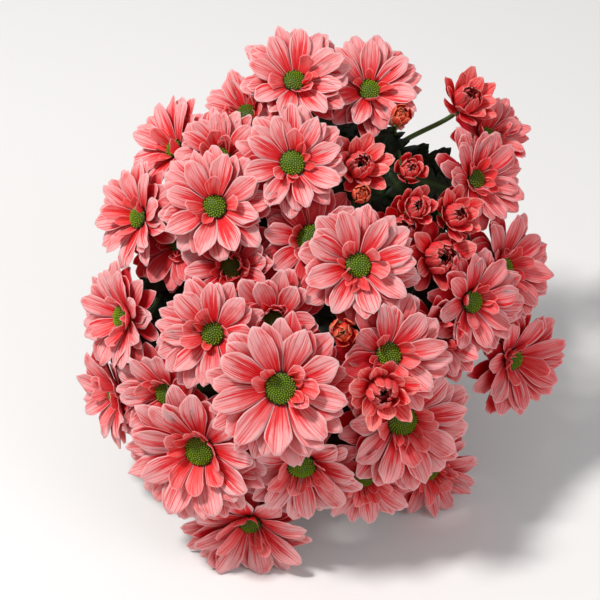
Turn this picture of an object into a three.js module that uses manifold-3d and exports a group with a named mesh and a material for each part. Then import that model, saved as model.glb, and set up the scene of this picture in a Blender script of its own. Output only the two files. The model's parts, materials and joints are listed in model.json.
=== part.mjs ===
// A cut spray of daisy-type chrysanthemums, laid on a flat surface at z = 0.
// Millimetres and degrees, +Z up. The origin is on the underside of the main stem, where it lies
// on the surface. The blooms form a dome whose axis rises from the surface towards -Y.
import * as THREE from "three";
import Module from "manifold-3d";

const wasm = await Module();
wasm.setup();

const DEGREE = Math.PI / 180;

// The head: how far its axis rises, where the front of its dome is, and the dome's half axes
const HEAD_RISE = 42;
const HEAD_FRONT = new THREE.Vector3(0, -262, 159.4);
const DOME_HALF_WIDTH = 132;
const DOME_HALF_HEIGHT = 150;
const DOME_DEPTH = 110;
const LEVEL_STEP = 8; // a bloom one level higher stands this much further forward
const SIGHT_DISTANCE = 1100; // places across the head are given as seen from here

// The ring that a bloom's petals grow from, in disc radii
const RING_BACK = 0.55; // how far it lies behind the bloom's place
const RING_HALF = 0.21; // half its height
const RING_HALF_LEAST = 1.2; // millimetres
const RING_RADII = [0.72, 0.92, 0.92, 0.5]; // of its four rounds in an open bloom
const LEANING_RADII = [0.56, 0.8, 0.95, 0.8]; // in a closing one
const RING_LEANS_BY = 0.45; // closed this much, it has the second radii
const RING_HEIGHTS = [1, 0.4, -0.4, -1]; // in half heights

// Petals: widths as shares of the bloom's reach, thickness on the midline in millimetres
const PETAL_HALF_WIDTH = 0.18;
const PETAL_TIP_WIDTH = 0.44; // of the full width
const PETAL_THICKNESS = 1.4;
const PETAL_TROUGH = 0.2; // how far the edges rise, of the half width
const PETAL_CROWDING = 0.93; // the share of the round that a layer may fill
const PETAL_START = 0.8; // in disc radii
const PETAL_CLEARANCE = 0.3; // from other blooms and from green parts
const ROOT_FREE = 0.05; // up to here, a share of the first section, petals of one bloom may join
const LONG_REACH = 31; // open blooms that reach further have finer upper petals

// Upper and lower petals: rise at the root and curl from root to tip in degrees, and what both
// gain in a closed bud; length as a share of the room; height of the root in half rings
const LAYERS = [
  { rise: 33, riseClosed: 48, curl: -16, curlClosed: 46, length: 0.96, root: 0.25 },
  { rise: 16, riseClosed: 40, curl: -10, curlClosed: 56, length: 1.03, root: -0.15 },
];

// Sections of a petal between root and tip: share of its length, and of its width
const FINE_SECTIONS = [
  [0.42, 0.88],
  [0.8, 0.96],
];
const PLAIN_SECTIONS = [[0.64, 1]];

// How far each number of a petal may stray: turn in steps, degrees, shares, and degrees
const STRAY = { turn: 0.07, rise: 3, curl: 6, length: 0.07, width: 0.08, twist: 7, sweep: 3 };

// How a petal may give way to what is already there
const SHORTER = [1, 0.88, 0.76, 0.64];
const LIFTS = [0, 8, -8, 16, -16, 26, -26, 38, -38];
const SWEEPS = [0, 7, -7, 13, -13];

// The cup, neck and disc in the ring: radii and heights in disc radii, gaps in millimetres
const CUP_RADIUS = 0.82;
const CUP_DEPTH = 0.75;
const NECK_GAP = 0.4;
const RIM_LIFT = 0.12;
const DISC_RISE = 0.42;
const DISC_RELIEF = 0.04;

// Stem, branches and pedicels
const STEM_RADIUS = 4.2;
const STEM_TOP_RADIUS = 2.6;
const STEM_LIE = 3.4; // height of the stem's midline where it lies, so that its flat is pressed down
const BRANCH_RADIUS = 1.9;
const BRANCH_FOOT_RADIUS = 2.4;
const PEDICEL_RADIUS = 1.4;
const PEDICEL_START = 2; // distance from the middle of the knot
const PEDICEL_ROOM = 2.4; // radius that is kept free of other blooms' rings
const KNOT_RADIUS = 2.8; // where pedicels part at the end of a branch

// Leaves, as shares of their length
const LEAF_THICKNESS = 1.5; // millimetres
const LEAF_FOLD = 0.16; // how far the halves of a blade rise from its rib
const LEAF_HALF_WIDTH = 0.36;

// A leaf's cut edge as shares of its length and of its half width, and where its rib has points
const LEAF_EDGE = [
  [0.12, 0.05],
  [0.2, 0.36],
  [0.33, 0.66],
  [0.38, 0.36],
  [0.58, 0.92],
  [0.64, 0.46],
  [0.8, 0.7],
  [0.86, 0.3],
];
const LEAF_RIB = [0.12, 0.38, 0.64, 0.86];

// Each bloom: name, place right and up of the head's middle, reach, disc radius, degrees that it
// faces right and up, level, petals in each of two layers, how closed it is (1 is a bud), branch
const BLOOMS = [
  ["bloom_01", -3, 121, 31.5, 6.4, 0, 20, 1, 8, 0.05, "top"],
  ["bloom_02", -30, 103, 25.5, 6.0, -20, 20, 0, 7, 0.12, "top"],
  ["bloom_03", -43.5, 79, 26, 5.6, -12, 12, 1, 7, 0.05, "upper_left"],
  ["bloom_04", -4, 75.5, 30.5, 7.2, 0, 4, 2, 8, 0.0, "top"],
  ["bloom_05", 38.5, 116, 30.5, 6.4, 8, 16, 0, 7, 0.0, "upper_right"],
  ["bloom_06", 103, 91, 26.5, 5.6, 30, 25, -0.4, 7, 0.1, "right"],
  ["bloom_07", 97.5, 66.5, 29, 5.8, 32, 5, 1.2, 7, 0.1, "right"],
  ["bloom_08", -70, 83.5, 29.5, 5.4, -45, 18, 0, 7, 0.05, "upper_left"],
  ["bloom_09", -90, 45.5, 30.5, 6.4, -48, 5, 1, 8, 0.0, "left"],
  ["bloom_10", -47, 51.5, 31.5, 6.6, -6, 2, 2.1, 8, 0.0, "upper_left"],
  ["bloom_11", -67.5, 32.5, 29, 6.4, -25, 0, -1, 7, 0.1, "left"],
  ["bloom_12", 6.5, 33.5, 30, 8.4, 2, 5, 0, 8, 0.0, "centre"],
  ["bloom_13", 32, 19, 33, 7.2, 5, 0, 2, 8, 0.0, "centre"],
  ["bloom_14", 113, 18, 33, 6.4, 42, 3, 0.3, 8, 0.0, "lower_right"],
  ["bloom_15", -99, -10, 31.5, 7.2, -50, -5, 1, 8, 0.0, "left"],
  ["bloom_16", -48.5, -18.5, 31, 6.6, -12, -4, 2, 8, 0.0, "low_left"],
  ["bloom_17", -38, 18, 28, 6.6, -8, 0, -0.1, 7, 0.2, "centre"],
  ["bloom_18", -14, -11.5, 29, 6.6, -2, -4, 1, 7, 0.2, "low_left"],
  ["bloom_19", -10.5, -49, 40, 9.0, -2, -8, 3.2, 9, 0.0, "low"],
  ["bloom_20", 49, -30.5, 33.5, 7.2, 12, -6, 2.2, 8, 0.0, "low_right"],
  ["bloom_21", 77, -18, 29, 6.0, 25, -8, 0.5, 7, 0.25, "lower_right"],
  ["bloom_22", 95.5, -1, 31, 6.6, 32, -8, 1.3, 8, 0.0, "lower_right"],
  ["bloom_23", 118, -33, 33.5, 6.4, 36, -15, -0.4, 7, 0.05, "lower_right"],
  ["bloom_24", -103, -52, 30.5, 6.4, -62, -15, 0, 8, 0.0, "low_left"],
  ["bloom_25", -74.5, -52, 29.5, 6.4, -28, -12, 1, 7, 0.05, "low_left"],
  ["bloom_26", -56, -83.5, 40.5, 9.0, -20, -18, 1.6, 9, 0.0, "low"],
  ["bloom_27", 1, -92.5, 34, 8.2, 0, -38, 1, 8, 0.0, "bottom"],
  ["bloom_28", 57, -67.5, 38, 8.8, 18, -16, 1.1, 9, 0.0, "low_right"],
  ["bloom_29", 36, -98.5, 30.5, 6.2, 8, -40, -0.6, 7, 0.05, "bottom"],
  ["bloom_30", 71.5, -95, 30, 6.4, 25, -38, -4.58, 7, 0.05, "bottom"],
  ["bloom_31", -27.5, -124, 37.5, 6.4, -5, -38, 0.07, 8, 0.05, "bottom"],
  ["half_open_01", 90, 108, 24, 5.6, 20, 22, 0.8, 6, 0.42, "upper_right"],
  ["half_open_02", 59.5, 71, 17, 4.6, 10, 8, 1.6, 6, 0.72, "upper_right"],
  ["half_open_03", 31.5, 73, 23, 5.2, 12, 10, 0, 6, 0.42, "top"],
  ["half_open_04", 55, 38, 23, 5.2, 8, 5, -0.6, 6, 0.4, "centre"],
  ["half_open_05", 62.5, 50.5, 18.5, 4.8, 12, 5, 1.4, 6, 0.62, "right"],
  ["half_open_06", 83.5, 46, 21.5, 5.2, 20, 6, 1.5, 6, 0.55, "right"],
  ["half_open_07", 75.5, 23, 27, 6.0, 18, 0, 0.2, 6, 0.34, "right"],
  ["half_open_08", 44.5, -49.5, 25.5, 6.4, 8, -12, 4.4, 6, 0.5, "low_right"],
  ["bud_01", 55, 100.5, 16, 4.6, 10, 15, 1.5, 5, 0.95, "upper_right"],
  ["bud_02", 33.5, 58, 14, 4.2, 3, 3, 1.0, 5, 0.95, "centre"],
  ["bud_03", 23, -17.5, 18, 5.4, 3, -5, 2.4, 5, 0.86, "low_right"],
];
const HALF_CLOSED = 0.3; // from here on a bloom is redder, with plainer petals and cup
const NEARLY_SHUT = 0.8;

// Each side branch: where its blooms' pedicels part (right, up, forward of the head's middle),
// and how far behind the front of the dome it leaves the main stem
const BRANCHES = {
  top: [-8, 84, -88, -138],
  upper_right: [52, 84, -92, -150],
  right: [76, 50, -92, -132],
  upper_left: [-54, 62, -82, -144],
  centre: [10, 30, -62, -96],
  left: [-72, 18, -92, -156],
  lower_right: [82, -2, -88, -126],
  low_left: [-62, -34, -84, -130],
  low: [-24, -52, -64, -108],
  low_right: [42, -42, -66, -114],
  bottom: [6, -84, -92, -140],
};

// Leaves: where along the main stem (0 is the cut end), side as degrees round it (0 is up),
// length, degrees that the blade leaves the stem, and how many degrees it arches over its length
const STEM_LEAVES = [
  [0.3, 68, 62, 52, -44],
  [0.36, -74, 66, 50, -42],
  [0.44, 20, 58, 48, -30],
  [0.52, 104, 84, 62, -26],
  [0.56, -108, 86, 60, -26],
  [0.63, -18, 60, 56, -20],
  [0.7, 76, 70, 66, -22],
  [0.72, -66, 70, 66, -22],
];

// Leaves at the ends of branches: branch, degrees round the head's axis (0 is right, 90 is up),
// length, degrees that the blade leans forward, and degrees that it arches
const HEAD_LEAVES = [
  ["top", 38, 46, 14, -20],
  ["upper_right", -32, 50, 12, -16],
  ["right", 118, 42, 16, -22],
  ["centre", -66, 44, 8, -18],
  ["left", -128, 46, 10, -18],
  ["lower_right", -112, 44, 14, -20],
];

const COLOURS = {
  bloom: 0xe98480,
  half: 0xdf5450,
  bud: 0xd24a3c,
  green: 0x3f5f26,
};

const axisRight = new THREE.Vector3(1, 0, 0);
const axisForward = new THREE.Vector3(0, -Math.cos(HEAD_RISE * DEGREE), Math.sin(HEAD_RISE * DEGREE));
const axisUp = new THREE.Vector3(0, Math.sin(HEAD_RISE * DEGREE), Math.cos(HEAD_RISE * DEGREE));

// A repeatable draw between -1 and 1
function randomFrom(seed) {
  let state = seed * 7919 + 12345;
  return () => {
    state = (state * 1664525 + 1013904223) % 4294967296;
    return state / 2147483648 - 1;
  };
}

// A point of the head: right and up as seen from the sight distance, and forward of the front
function headPoint(right, up, forward) {
  const spread = (SIGHT_DISTANCE - forward) / SIGHT_DISTANCE;
  return HEAD_FRONT.clone()
    .addScaledVector(axisRight, right * spread)
    .addScaledVector(axisUp, up * spread)
    .addScaledVector(axisForward, forward);
}

// How far the dome lies behind its front at a place
function domeForward(right, up) {
  const share = (right / DOME_HALF_WIDTH) ** 2 + (up / DOME_HALF_HEIGHT) ** 2;
  return -DOME_DEPTH * (1 - Math.sqrt(Math.max(0.03, 1 - share)));
}

// A closed surface through rings of points, which may differ in number; the first and the last
// are single points
function skin(rings) {
  const faces = [];
  let start = 0;
  for (let i = 0; i + 1 < rings.length; i++) {
    const here = rings[i].length;
    const next = rings[i + 1].length;
    const after = start + here;
    const hereSteps = here > 1 ? here : 0;
    const nextSteps = next > 1 ? next : 0;
    let a = 0;
    let b = 0;
    while (a < hereSteps || b < nextSteps) {
      if (b < nextSteps && (a === hereSteps || (b + 1) * hereSteps <= (a + 1) * nextSteps)) {
        faces.push(start + (a % here), after + ((b + 1) % next), after + b);
        b++;
      } else {
        faces.push(start + a, start + ((a + 1) % here), after + (b % next));
        a++;
      }
    }
    start = after;
  }
  return { points: rings.flat(), faces };
}

function solidOf({ points, faces }) {
  const vertProperties = new Float32Array(points.flatMap((p) => [p.x, p.y, p.z]));
  return new wasm.Manifold(
    new wasm.Mesh({ numProp: 3, vertProperties, triVerts: new Uint32Array(faces) }),
  );
}

function geometryOf(solid) {
  const mesh = solid.getMesh();
  const geometry = new THREE.BufferGeometry();
  const places = new Float32Array(mesh.numVert * 3);
  for (let i = 0; i < mesh.numVert; i++) {
    places.set(mesh.vertProperties.subarray(i * mesh.numProp, i * mesh.numProp + 3), i * 3);
  }
  geometry.setAttribute("position", new THREE.BufferAttribute(places, 3));
  geometry.setIndex(new THREE.BufferAttribute(new Uint32Array(mesh.triVerts), 1));
  return geometry;
}

// Rings of points round a tapering line; the last ring starts on a given side
function tubeRings(points, startRadius, endRadius, sides, lastSide) {
  const rings = [];
  const last = points.length - 1;
  let side = lastSide;
  for (let i = last; i >= 0; i--) {
    const along = points[Math.min(i + 1, last)].clone().sub(points[Math.max(i - 1, 0)]).normalize();
    side = side.clone().addScaledVector(along, -side.dot(along)).normalize();
    const other = along.clone().cross(side);
    const radius = THREE.MathUtils.lerp(startRadius, endRadius, i / last);
    const ring = [];
    for (let k = 0; k < sides; k++) {
      const angle = (2 * Math.PI * k) / sides;
      ring.push(
        points[i]
          .clone()
          .addScaledVector(side, radius * Math.cos(angle))
          .addScaledVector(other, radius * Math.sin(angle)),
      );
    }
    rings.unshift(ring);
  }
  return rings;
}

// A tapering tube with closed ends along a list of points
function tube(points, startRadius, endRadius, sides, side = axisRight) {
  const rings = tubeRings(points, startRadius, endRadius, sides, side);
  return skin([[points[0]], ...rings, [points[points.length - 1]]]);
}

// The bloom's own frame and sizes, from its row
function bloomOf(row, number) {
  const [name, right, up, reach, disc, faceRight, faceUp, level, count, closed, branch] = row;
  const forward = domeForward(right, up) + level * LEVEL_STEP;
  const facing = axisForward
    .clone()
    .multiplyScalar(Math.cos(faceRight * DEGREE) * Math.cos(faceUp * DEGREE))
    .addScaledVector(axisRight, Math.sin(faceRight * DEGREE) * Math.cos(faceUp * DEGREE))
    .addScaledVector(axisUp, Math.sin(faceUp * DEGREE));
  const random = randomFrom(number + 1);
  const across = axisUp.clone().addScaledVector(facing, -axisUp.dot(facing)).normalize();
  across.applyAxisAngle(facing, random() * Math.PI);
  const sideways = facing.clone().cross(across);
  const half = Math.max(RING_HALF_LEAST, RING_HALF * disc);
  const centre = headPoint(right, up, forward).addScaledVector(facing, -RING_BACK * disc);
  return { name, number, reach, disc, level, count, closed, branch, half, centre, facing, across, sideways };
}

// Places in a bloom's frame: distance from its axis, turn round it, height along it
function placeIn(bloom, radius, angle, height) {
  return bloom.centre
    .clone()
    .addScaledVector(bloom.across, radius * Math.cos(angle))
    .addScaledVector(bloom.sideways, radius * Math.sin(angle))
    .addScaledVector(bloom.facing, height);
}

// Radii of the ring's four rounds, from the top, in disc radii: the ring of a closing bloom
// leans, so that its steep petals grow from it without a fold
function ringRadii({ closed }) {
  const lean = Math.min(1, closed / RING_LEANS_BY);
  return RING_RADII.map((radius, i) => THREE.MathUtils.lerp(radius, LEANING_RADII[i], lean));
}

// The ring that the petals grow from: four rounds of points, half a step apart in turn
function collarOf(bloom) {
  const { disc, half, count } = bloom;
  const step = (2 * Math.PI) / count;
  return ringRadii(bloom).map((radius, i) =>
    Array.from({ length: count }, (_, k) =>
      placeIn(bloom, radius * disc, (k + 0.5 * (i % 2)) * step, RING_HEIGHTS[i] * half),
    ),
  );
}

// One petal's numbers, from its layer (0 is the upper) and its turn in the layer
function petalOf(bloom, layer, index, random) {
  const { reach, disc, count, closed } = bloom;
  const step = (2 * Math.PI) / count;
  const kind = LAYERS[layer];
  const room = reach - PETAL_START * disc;
  return {
    layer,
    index,
    angle: (index + 0.5 * layer) * step + STRAY.turn * step * random(),
    rise: kind.rise + kind.riseClosed * closed + STRAY.rise * random(),
    curl: kind.curl + kind.curlClosed * closed + STRAY.curl * random(),
    length: room * kind.length * (1 + STRAY.length * random()),
    width: reach * PETAL_HALF_WIDTH * (1 + STRAY.width * random()),
    twist: STRAY.twist * random(),
    sweep: STRAY.sweep * random(),
  };
}

// The middle of a petal at a share of its length: place, direction, and turn about the bloom
function petalLine(bloom, petal, share) {
  const start = petal.rise * DEGREE;
  const curl = (Math.abs(petal.curl) < 0.01 ? 0.01 : petal.curl) * DEGREE;
  const here = start + curl * share;
  return {
    radius: PETAL_START * bloom.disc + (petal.length * (Math.sin(here) - Math.sin(start))) / curl,
    height:
      LAYERS[petal.layer].root * bloom.half -
      (petal.length * (Math.cos(here) - Math.cos(start))) / curl,
    angle: petal.angle + petal.sweep * DEGREE * share * share,
    rise: here,
  };
}

// The four points of a petal's section: left edge, top, right edge, underside
function petalSection(bloom, petal, share, widthShare, thick, margin) {
  const line = petalLine(bloom, petal, share);
  const room = (PETAL_CROWDING * Math.PI * Math.max(line.radius, 0.6)) / bloom.count;
  const width = Math.min(petal.width * widthShare, room) + margin;
  const outward = bloom.across
    .clone()
    .multiplyScalar(Math.cos(line.angle))
    .addScaledVector(bloom.sideways, Math.sin(line.angle));
  const along = outward
    .clone()
    .multiplyScalar(Math.cos(line.rise))
    .addScaledVector(bloom.facing, Math.sin(line.rise));
  const level = outward.clone().cross(bloom.facing);
  const turned = level.applyAxisAngle(along, petal.twist * DEGREE * share);
  const normal = turned.clone().cross(along).normalize();
  const middle = placeIn(bloom, line.radius, line.angle, line.height);
  const edge = PETAL_TROUGH * width;
  return [
    middle.clone().addScaledVector(turned, -width).addScaledVector(normal, edge),
    middle.clone().addScaledVector(normal, thick / 2 + margin),
    middle.clone().addScaledVector(turned, width).addScaledVector(normal, edge),
    middle.clone().addScaledVector(normal, -thick / 2 - margin),
  ];
}

// A petal's sections from its root outward; the last is an edge of two points
function petalSections(bloom, petal, root, margin) {
  const fine = petal.layer === 0 && bloom.closed < HALF_CLOSED && bloom.reach > LONG_REACH;
  const shares = fine ? FINE_SECTIONS : PLAIN_SECTIONS;
  const tip = petalSection(bloom, petal, 1 + margin / petal.length, PETAL_TIP_WIDTH, 0, margin);
  return [
    root,
    ...shares.map(([share, width]) =>
      petalSection(bloom, petal, share, width, PETAL_THICKNESS, margin),
    ),
    [tip[0], tip[2]],
  ];
}

// Faces between two sections; both faces of the blade are split along like diagonals
function bladeFaces(a, b) {
  return [
    [a[1], b[1], b[0]],
    [a[1], b[0], a[0]],
    [a[3], a[0], b[0]],
    [a[3], b[0], b[3]],
    [a[1], a[2], b[2]],
    [a[1], b[2], b[1]],
    [a[3], b[3], b[2]],
    [a[3], b[2], a[2]],
  ];
}

function petalFaces(sections) {
  const faces = [];
  for (let i = 0; i + 2 < sections.length; i++) {
    faces.push(...bladeFaces(sections[i], sections[i + 1]));
  }
  const last = sections[sections.length - 2];
  const [left, right] = sections[sections.length - 1];
  faces.push(
    [last[1], left, last[0]],
    [last[1], right, left],
    [last[1], last[2], right],
    [last[3], last[0], left],
    [last[3], left, right],
    [last[3], right, last[2]],
  );
  return faces;
}

// Shared points and indices from faces whose corners are the same objects where they meet
function meshOf(triangles) {
  const points = [];
  const numbers = new Map();
  const faces = triangles.flat().map((point) => {
    if (!numbers.has(point)) {
      numbers.set(point, points.length);
      points.push(point);
    }
    return numbers.get(point);
  });
  return { points, faces };
}

// The four collar points that a petal grows from
function rootOf(rounds, layer, index) {
  const count = rounds[0].length;
  const before = (index + count - 1) % count;
  const after = (index + 1) % count;
  return layer
    ? [rounds[2][after], rounds[1][index], rounds[2][index], rounds[3][index]]
    : [rounds[1][index], rounds[0][index], rounds[1][before], rounds[2][index]];
}

// A bloom's petals and collar as one closed surface; a petal that is null leaves its root bare
function petalsMesh(bloom, petals) {
  const { rounds, count } = bloom;
  const triangles = [];
  for (let k = 0; k < count; k++) {
    const before = (k + count - 1) % count;
    const after = (k + 1) % count;
    triangles.push(
      [rounds[1][k], rounds[0][after], rounds[0][k]],
      [rounds[3][before], rounds[3][k], rounds[2][k]],
      [rounds[3][k], rounds[3][before], rounds[0][k]],
      [rounds[3][k], rounds[0][k], rounds[0][after]],
    );
  }
  petals.forEach((petal, i) => {
    const root = rootOf(rounds, i < count ? 0 : 1, i % count);
    if (petal) {
      triangles.push(...petalFaces(petalSections(bloom, petal, root, 0)));
    } else {
      triangles.push([root[1], root[2], root[3]], [root[1], root[3], root[0]]);
    }
  });
  return meshOf(triangles);
}

// A petal alone as a closed blade. It may start a little way out, and be larger by a margin
function petalBlade(bloom, petal, margin, fromShare) {
  const root = rootOf(bloom.rounds, petal.layer, petal.index);
  const sections = petalSections(bloom, petal, root, margin);
  sections[0] = root.map((point, i) => point.clone().lerp(sections[1][i], fromShare));
  const [left, top, right, under] = sections[0];
  return meshOf([...petalFaces(sections), [top, under, right], [top, left, under]]);
}

// The green part in the ring: bract cup, neck through the ring, and domed disc, from below. The
// florets of the disc are a relief: its points stand out and lie back by turns
function coreRings(bloom) {
  const { disc, half, count, closed } = bloom;
  const sides = closed > HALF_CLOSED ? 5 : 6;
  const inner = Math.cos(Math.PI / count);
  const [topHole, , , lowHole] = ringRadii(bloom);
  const opening = closed > NEARLY_SHUT ? 0.62 : 1 - 0.42 * closed;
  const rim = disc * opening;
  const rimHeight = half + 0.55 + RIM_LIFT * disc;
  const ring = (radius, height, shift = 0, relief = 0) =>
    Array.from({ length: sides }, (_, k) => {
      const bump = relief * (k % 2 ? 1 : -1);
      const angle = (2 * Math.PI * (k + shift)) / sides;
      return placeIn(bloom, radius + bump, angle, height + bump);
    });
  return [
    ring(CUP_RADIUS * disc, -half - NECK_GAP - 0.1),
    ring(lowHole * disc * inner - NECK_GAP, -half - NECK_GAP),
    ring(topHole * disc * inner - NECK_GAP, half + 0.35),
    ring(rim, rimHeight),
    ring(0.58 * rim, rimHeight + DISC_RISE * 0.8 * rim, 0.5, DISC_RELIEF * rim),
    [placeIn(bloom, 0, 0, rimHeight + DISC_RISE * rim)],
  ];
}

// A piece of the spray with the box that tells quickly what it is clear of
function pieceOf(mesh, owner) {
  return { box: new THREE.Box3().setFromPoints(mesh.points), solid: solidOf(mesh), owner };
}

function meets(piece, others) {
  return others.some(
    (other) =>
      piece.box.intersectsBox(other.box) && piece.solid.intersect(other.solid).volume() > 1e-4,
  );
}

// The middle of the main stem: a lying end, then a rise into the head
function stemLine() {
  return new THREE.CatmullRomCurve3([
    new THREE.Vector3(1, 34, STEM_LIE),
    new THREE.Vector3(0, 0, STEM_LIE),
    new THREE.Vector3(0, -34, STEM_LIE + 2.5),
    headPoint(2, 0, -196),
    headPoint(0, 0, -150),
    headPoint(-3, -4, -108),
    headPoint(0, -8, -86),
  ]);
}

// A smooth line from one point to another that starts and ends in given directions
function bowedLine(start, startWay, end, endWay, shift) {
  const gap = start.distanceTo(end);
  const curve = new THREE.CubicBezierCurve3(
    start,
    start.clone().addScaledVector(startWay, 0.34 * gap).addScaledVector(shift, 0.7),
    end.clone().addScaledVector(endWay, -0.38 * gap).add(shift),
    end,
  );
  return curve.getPoints(3);
}

// Ways to lead a pedicel past the rings of other blooms: straight first, then shifted
function shiftsRound(way) {
  const side = axisRight.clone().addScaledVector(way, -axisRight.dot(way)).normalize();
  const other = way.clone().cross(side);
  const shifts = [new THREE.Vector3()];
  for (const distance of [8, 14, 20]) {
    for (let turn = 0; turn < 8; turn++) {
      const angle = (turn * Math.PI) / 4;
      shifts.push(
        side
          .clone()
          .multiplyScalar(distance * Math.cos(angle))
          .addScaledVector(other, distance * Math.sin(angle)),
      );
    }
  }
  return shifts;
}

// The knot where pedicels part
function knotMesh(hub, way) {
  const [first, low, high, last] = [-1, -0.35, 0.35, 1].map((share) =>
    hub.clone().addScaledVector(way, share * KNOT_RADIUS),
  );
  const belt = tubeRings([low, high], KNOT_RADIUS, KNOT_RADIUS, 5, axisRight);
  return skin([[first], ...belt, [last]]);
}

// A leaf with cut edges: a thin arched blade that is folded a little along its rib
function leafMesh(base, way, upward, length, arch) {
  const across = way.clone().cross(upward).normalize();
  const top = across.clone().cross(way).normalize();
  const place = (share, side, lift) => {
    const turn = arch * DEGREE * share;
    const width = side * length * LEAF_HALF_WIDTH;
    const ribNormal = top.clone().multiplyScalar(Math.cos(turn)).addScaledVector(way, -Math.sin(turn));
    return base
      .clone()
      .addScaledVector(way, (length * Math.sin(turn)) / (arch * DEGREE))
      .addScaledVector(top, (length * (1 - Math.cos(turn))) / (arch * DEGREE))
      .addScaledVector(across, width)
      .addScaledVector(ribNormal, lift + LEAF_FOLD * Math.abs(width));
  };
  const half = LEAF_THICKNESS / 2;
  const section = (share, width) => [
    place(share, -width, 0),
    place(share, 0, half),
    place(share, width, 0),
    place(share, 0, -half),
  ];
  const foot = section(-0.04, 0.04);
  const neck = section(...LEAF_EDGE[0]);
  const tip = place(1, 0, 0);
  const ribs = LEAF_RIB.slice(1);
  const faces = [
    { middle: [neck[1], ...ribs.map((share) => place(share, 0, half))], above: 1 },
    { middle: [neck[3], ...ribs.map((share) => place(share, 0, -half))], above: -1 },
  ];
  const triangles = [
    [foot[1], foot[3], foot[2]],
    [foot[1], foot[0], foot[3]],
    ...bladeFaces(foot, neck),
  ];
  for (const side of [-1, 1]) {
    const outline = LEAF_EDGE.slice(1).map(([share, width]) => place(share, side * width, 0));
    const edge = [side > 0 ? neck[2] : neck[0], ...outline, tip];
    const shares = [...LEAF_EDGE.map(([share]) => share), 1];
    for (const { middle, above } of faces) {
      const add = (a, b, c) => triangles.push(side * above > 0 ? [a, b, c] : [a, c, b]);
      let rib = 0;
      for (let i = 0; i + 1 < edge.length; i++) {
        while (rib + 1 < middle.length && shares[i] >= LEAF_RIB[rib + 1] - 0.02) {
          add(middle[rib], edge[i], middle[rib + 1]);
          rib++;
        }
        add(middle[rib], edge[i], edge[i + 1]);
      }
    }
  }
  return meshOf(triangles);
}

function stemLeaf(line, [share, side, length, spread, arch]) {
  const base = line.getPointAt(share);
  const along = line.getTangentAt(share);
  const up = new THREE.Vector3(0, 0, 1).addScaledVector(along, -along.z).normalize();
  const out = up.clone().applyAxisAngle(along, side * DEGREE);
  const way = along
    .clone()
    .multiplyScalar(Math.cos(spread * DEGREE))
    .addScaledVector(out, Math.sin(spread * DEGREE));
  return leafMesh(base, way, along.clone().negate().add(out), length, arch);
}

function headLeaf(hubs, [branch, round, length, lean, arch]) {
  const way = axisRight
    .clone()
    .multiplyScalar(Math.cos(round * DEGREE))
    .addScaledVector(axisUp, Math.sin(round * DEGREE))
    .multiplyScalar(Math.cos(lean * DEGREE))
    .addScaledVector(axisForward, Math.sin(lean * DEGREE));
  return leafMesh(hubs[branch].hub, way, axisForward, length, arch);
}

// The end of each branch and the direction in which the branch reaches it
function branchEnds() {
  const hubs = {};
  for (const [name, [right, up, forward, from]] of Object.entries(BRANCHES)) {
    const hub = headPoint(right, up, forward);
    const start = headPoint(-2, -3, from);
    hubs[name] = { hub, start, outward: hub.clone().sub(start).normalize() };
  }
  return hubs;
}

function branchMesh({ hub, start, outward }) {
  const startWay = outward.clone().add(axisForward).normalize();
  const points = bowedLine(start, startWay, hub, outward, new THREE.Vector3());
  return tube(points, BRANCH_FOOT_RADIUS, BRANCH_RADIUS, 5);
}

// A bloom's pedicel, cup and disc as one piece, on the first way that is clear of other rings
function stalkPiece(bloom, { hub, outward }, rings) {
  const end = placeIn(bloom, 0, 0, -bloom.half - NECK_GAP - CUP_DEPTH * bloom.disc);
  const others = rings.filter((ring) => ring.owner !== bloom.name);
  const startWay = end.clone().sub(hub).normalize().addScaledVector(outward, 0.3).normalize();
  const start = hub.clone().addScaledVector(startWay, PEDICEL_START);
  for (const shift of shiftsRound(bloom.facing)) {
    const points = bowedLine(start, startWay, end, bloom.facing, shift);
    const wide = pieceOf(tube(points, PEDICEL_ROOM, PEDICEL_ROOM, 6), bloom.name);
    if (!meets(wide, others)) {
      const stalk = tubeRings(points, PEDICEL_RADIUS * 1.1, PEDICEL_RADIUS, 3, bloom.across);
      return pieceOf(skin([[points[0]], ...stalk, ...coreRings(bloom)]), bloom.name);
    }
  }
  throw new Error(bloom.name + ": no clear way for its pedicel");
}

// The ways a petal may give way to what is already there, the least change first
function petalChoices(petal) {
  const choices = [];
  for (const shorter of SHORTER) {
    for (const lift of LIFTS) {
      for (const sweep of SWEEPS) {
        choices.push({
          ...petal,
          length: petal.length * shorter,
          curl: petal.curl + lift,
          sweep: petal.sweep + sweep,
          effort: (1 - shorter) * 120 + Math.abs(lift) + Math.abs(sweep) * 1.4,
        });
      }
    }
  }
  return choices.sort((a, b) => a.effort - b.effort);
}

// The petals of a bloom, each the first choice that stays above the surface, clear of its own
// bloom and a clearance away from all others; null where there is none
function petalsOf(bloom, ownGreen, others) {
  const random = randomFrom(100 + bloom.number);
  const own = [ownGreen];
  const petals = [];
  for (let layer = 0; layer < 2; layer++) {
    for (let k = 0; k < bloom.count; k++) {
      const petal = petalOf(bloom, layer, k, random);
      const sphere = new THREE.Sphere(bloom.centre, petal.length + bloom.disc + 2);
      const near = others.filter((piece) => sphere.intersectsBox(piece.box));
      const found = petalChoices(petal).find((choice) => {
        const blade = petalBlade(bloom, choice, 0, ROOT_FREE);
        if (blade.points.some((p) => p.z < 0)) return false;
        if (meets(pieceOf(blade, bloom.name), own)) return false;
        return !meets(pieceOf(petalBlade(bloom, choice, PETAL_CLEARANCE, 0), bloom.name), near);
      });
      if (found) own.push(pieceOf(petalBlade(bloom, found, 0.05, ROOT_FREE), bloom.name));
      petals.push(found || null);
    }
  }
  return petals;
}

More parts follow.
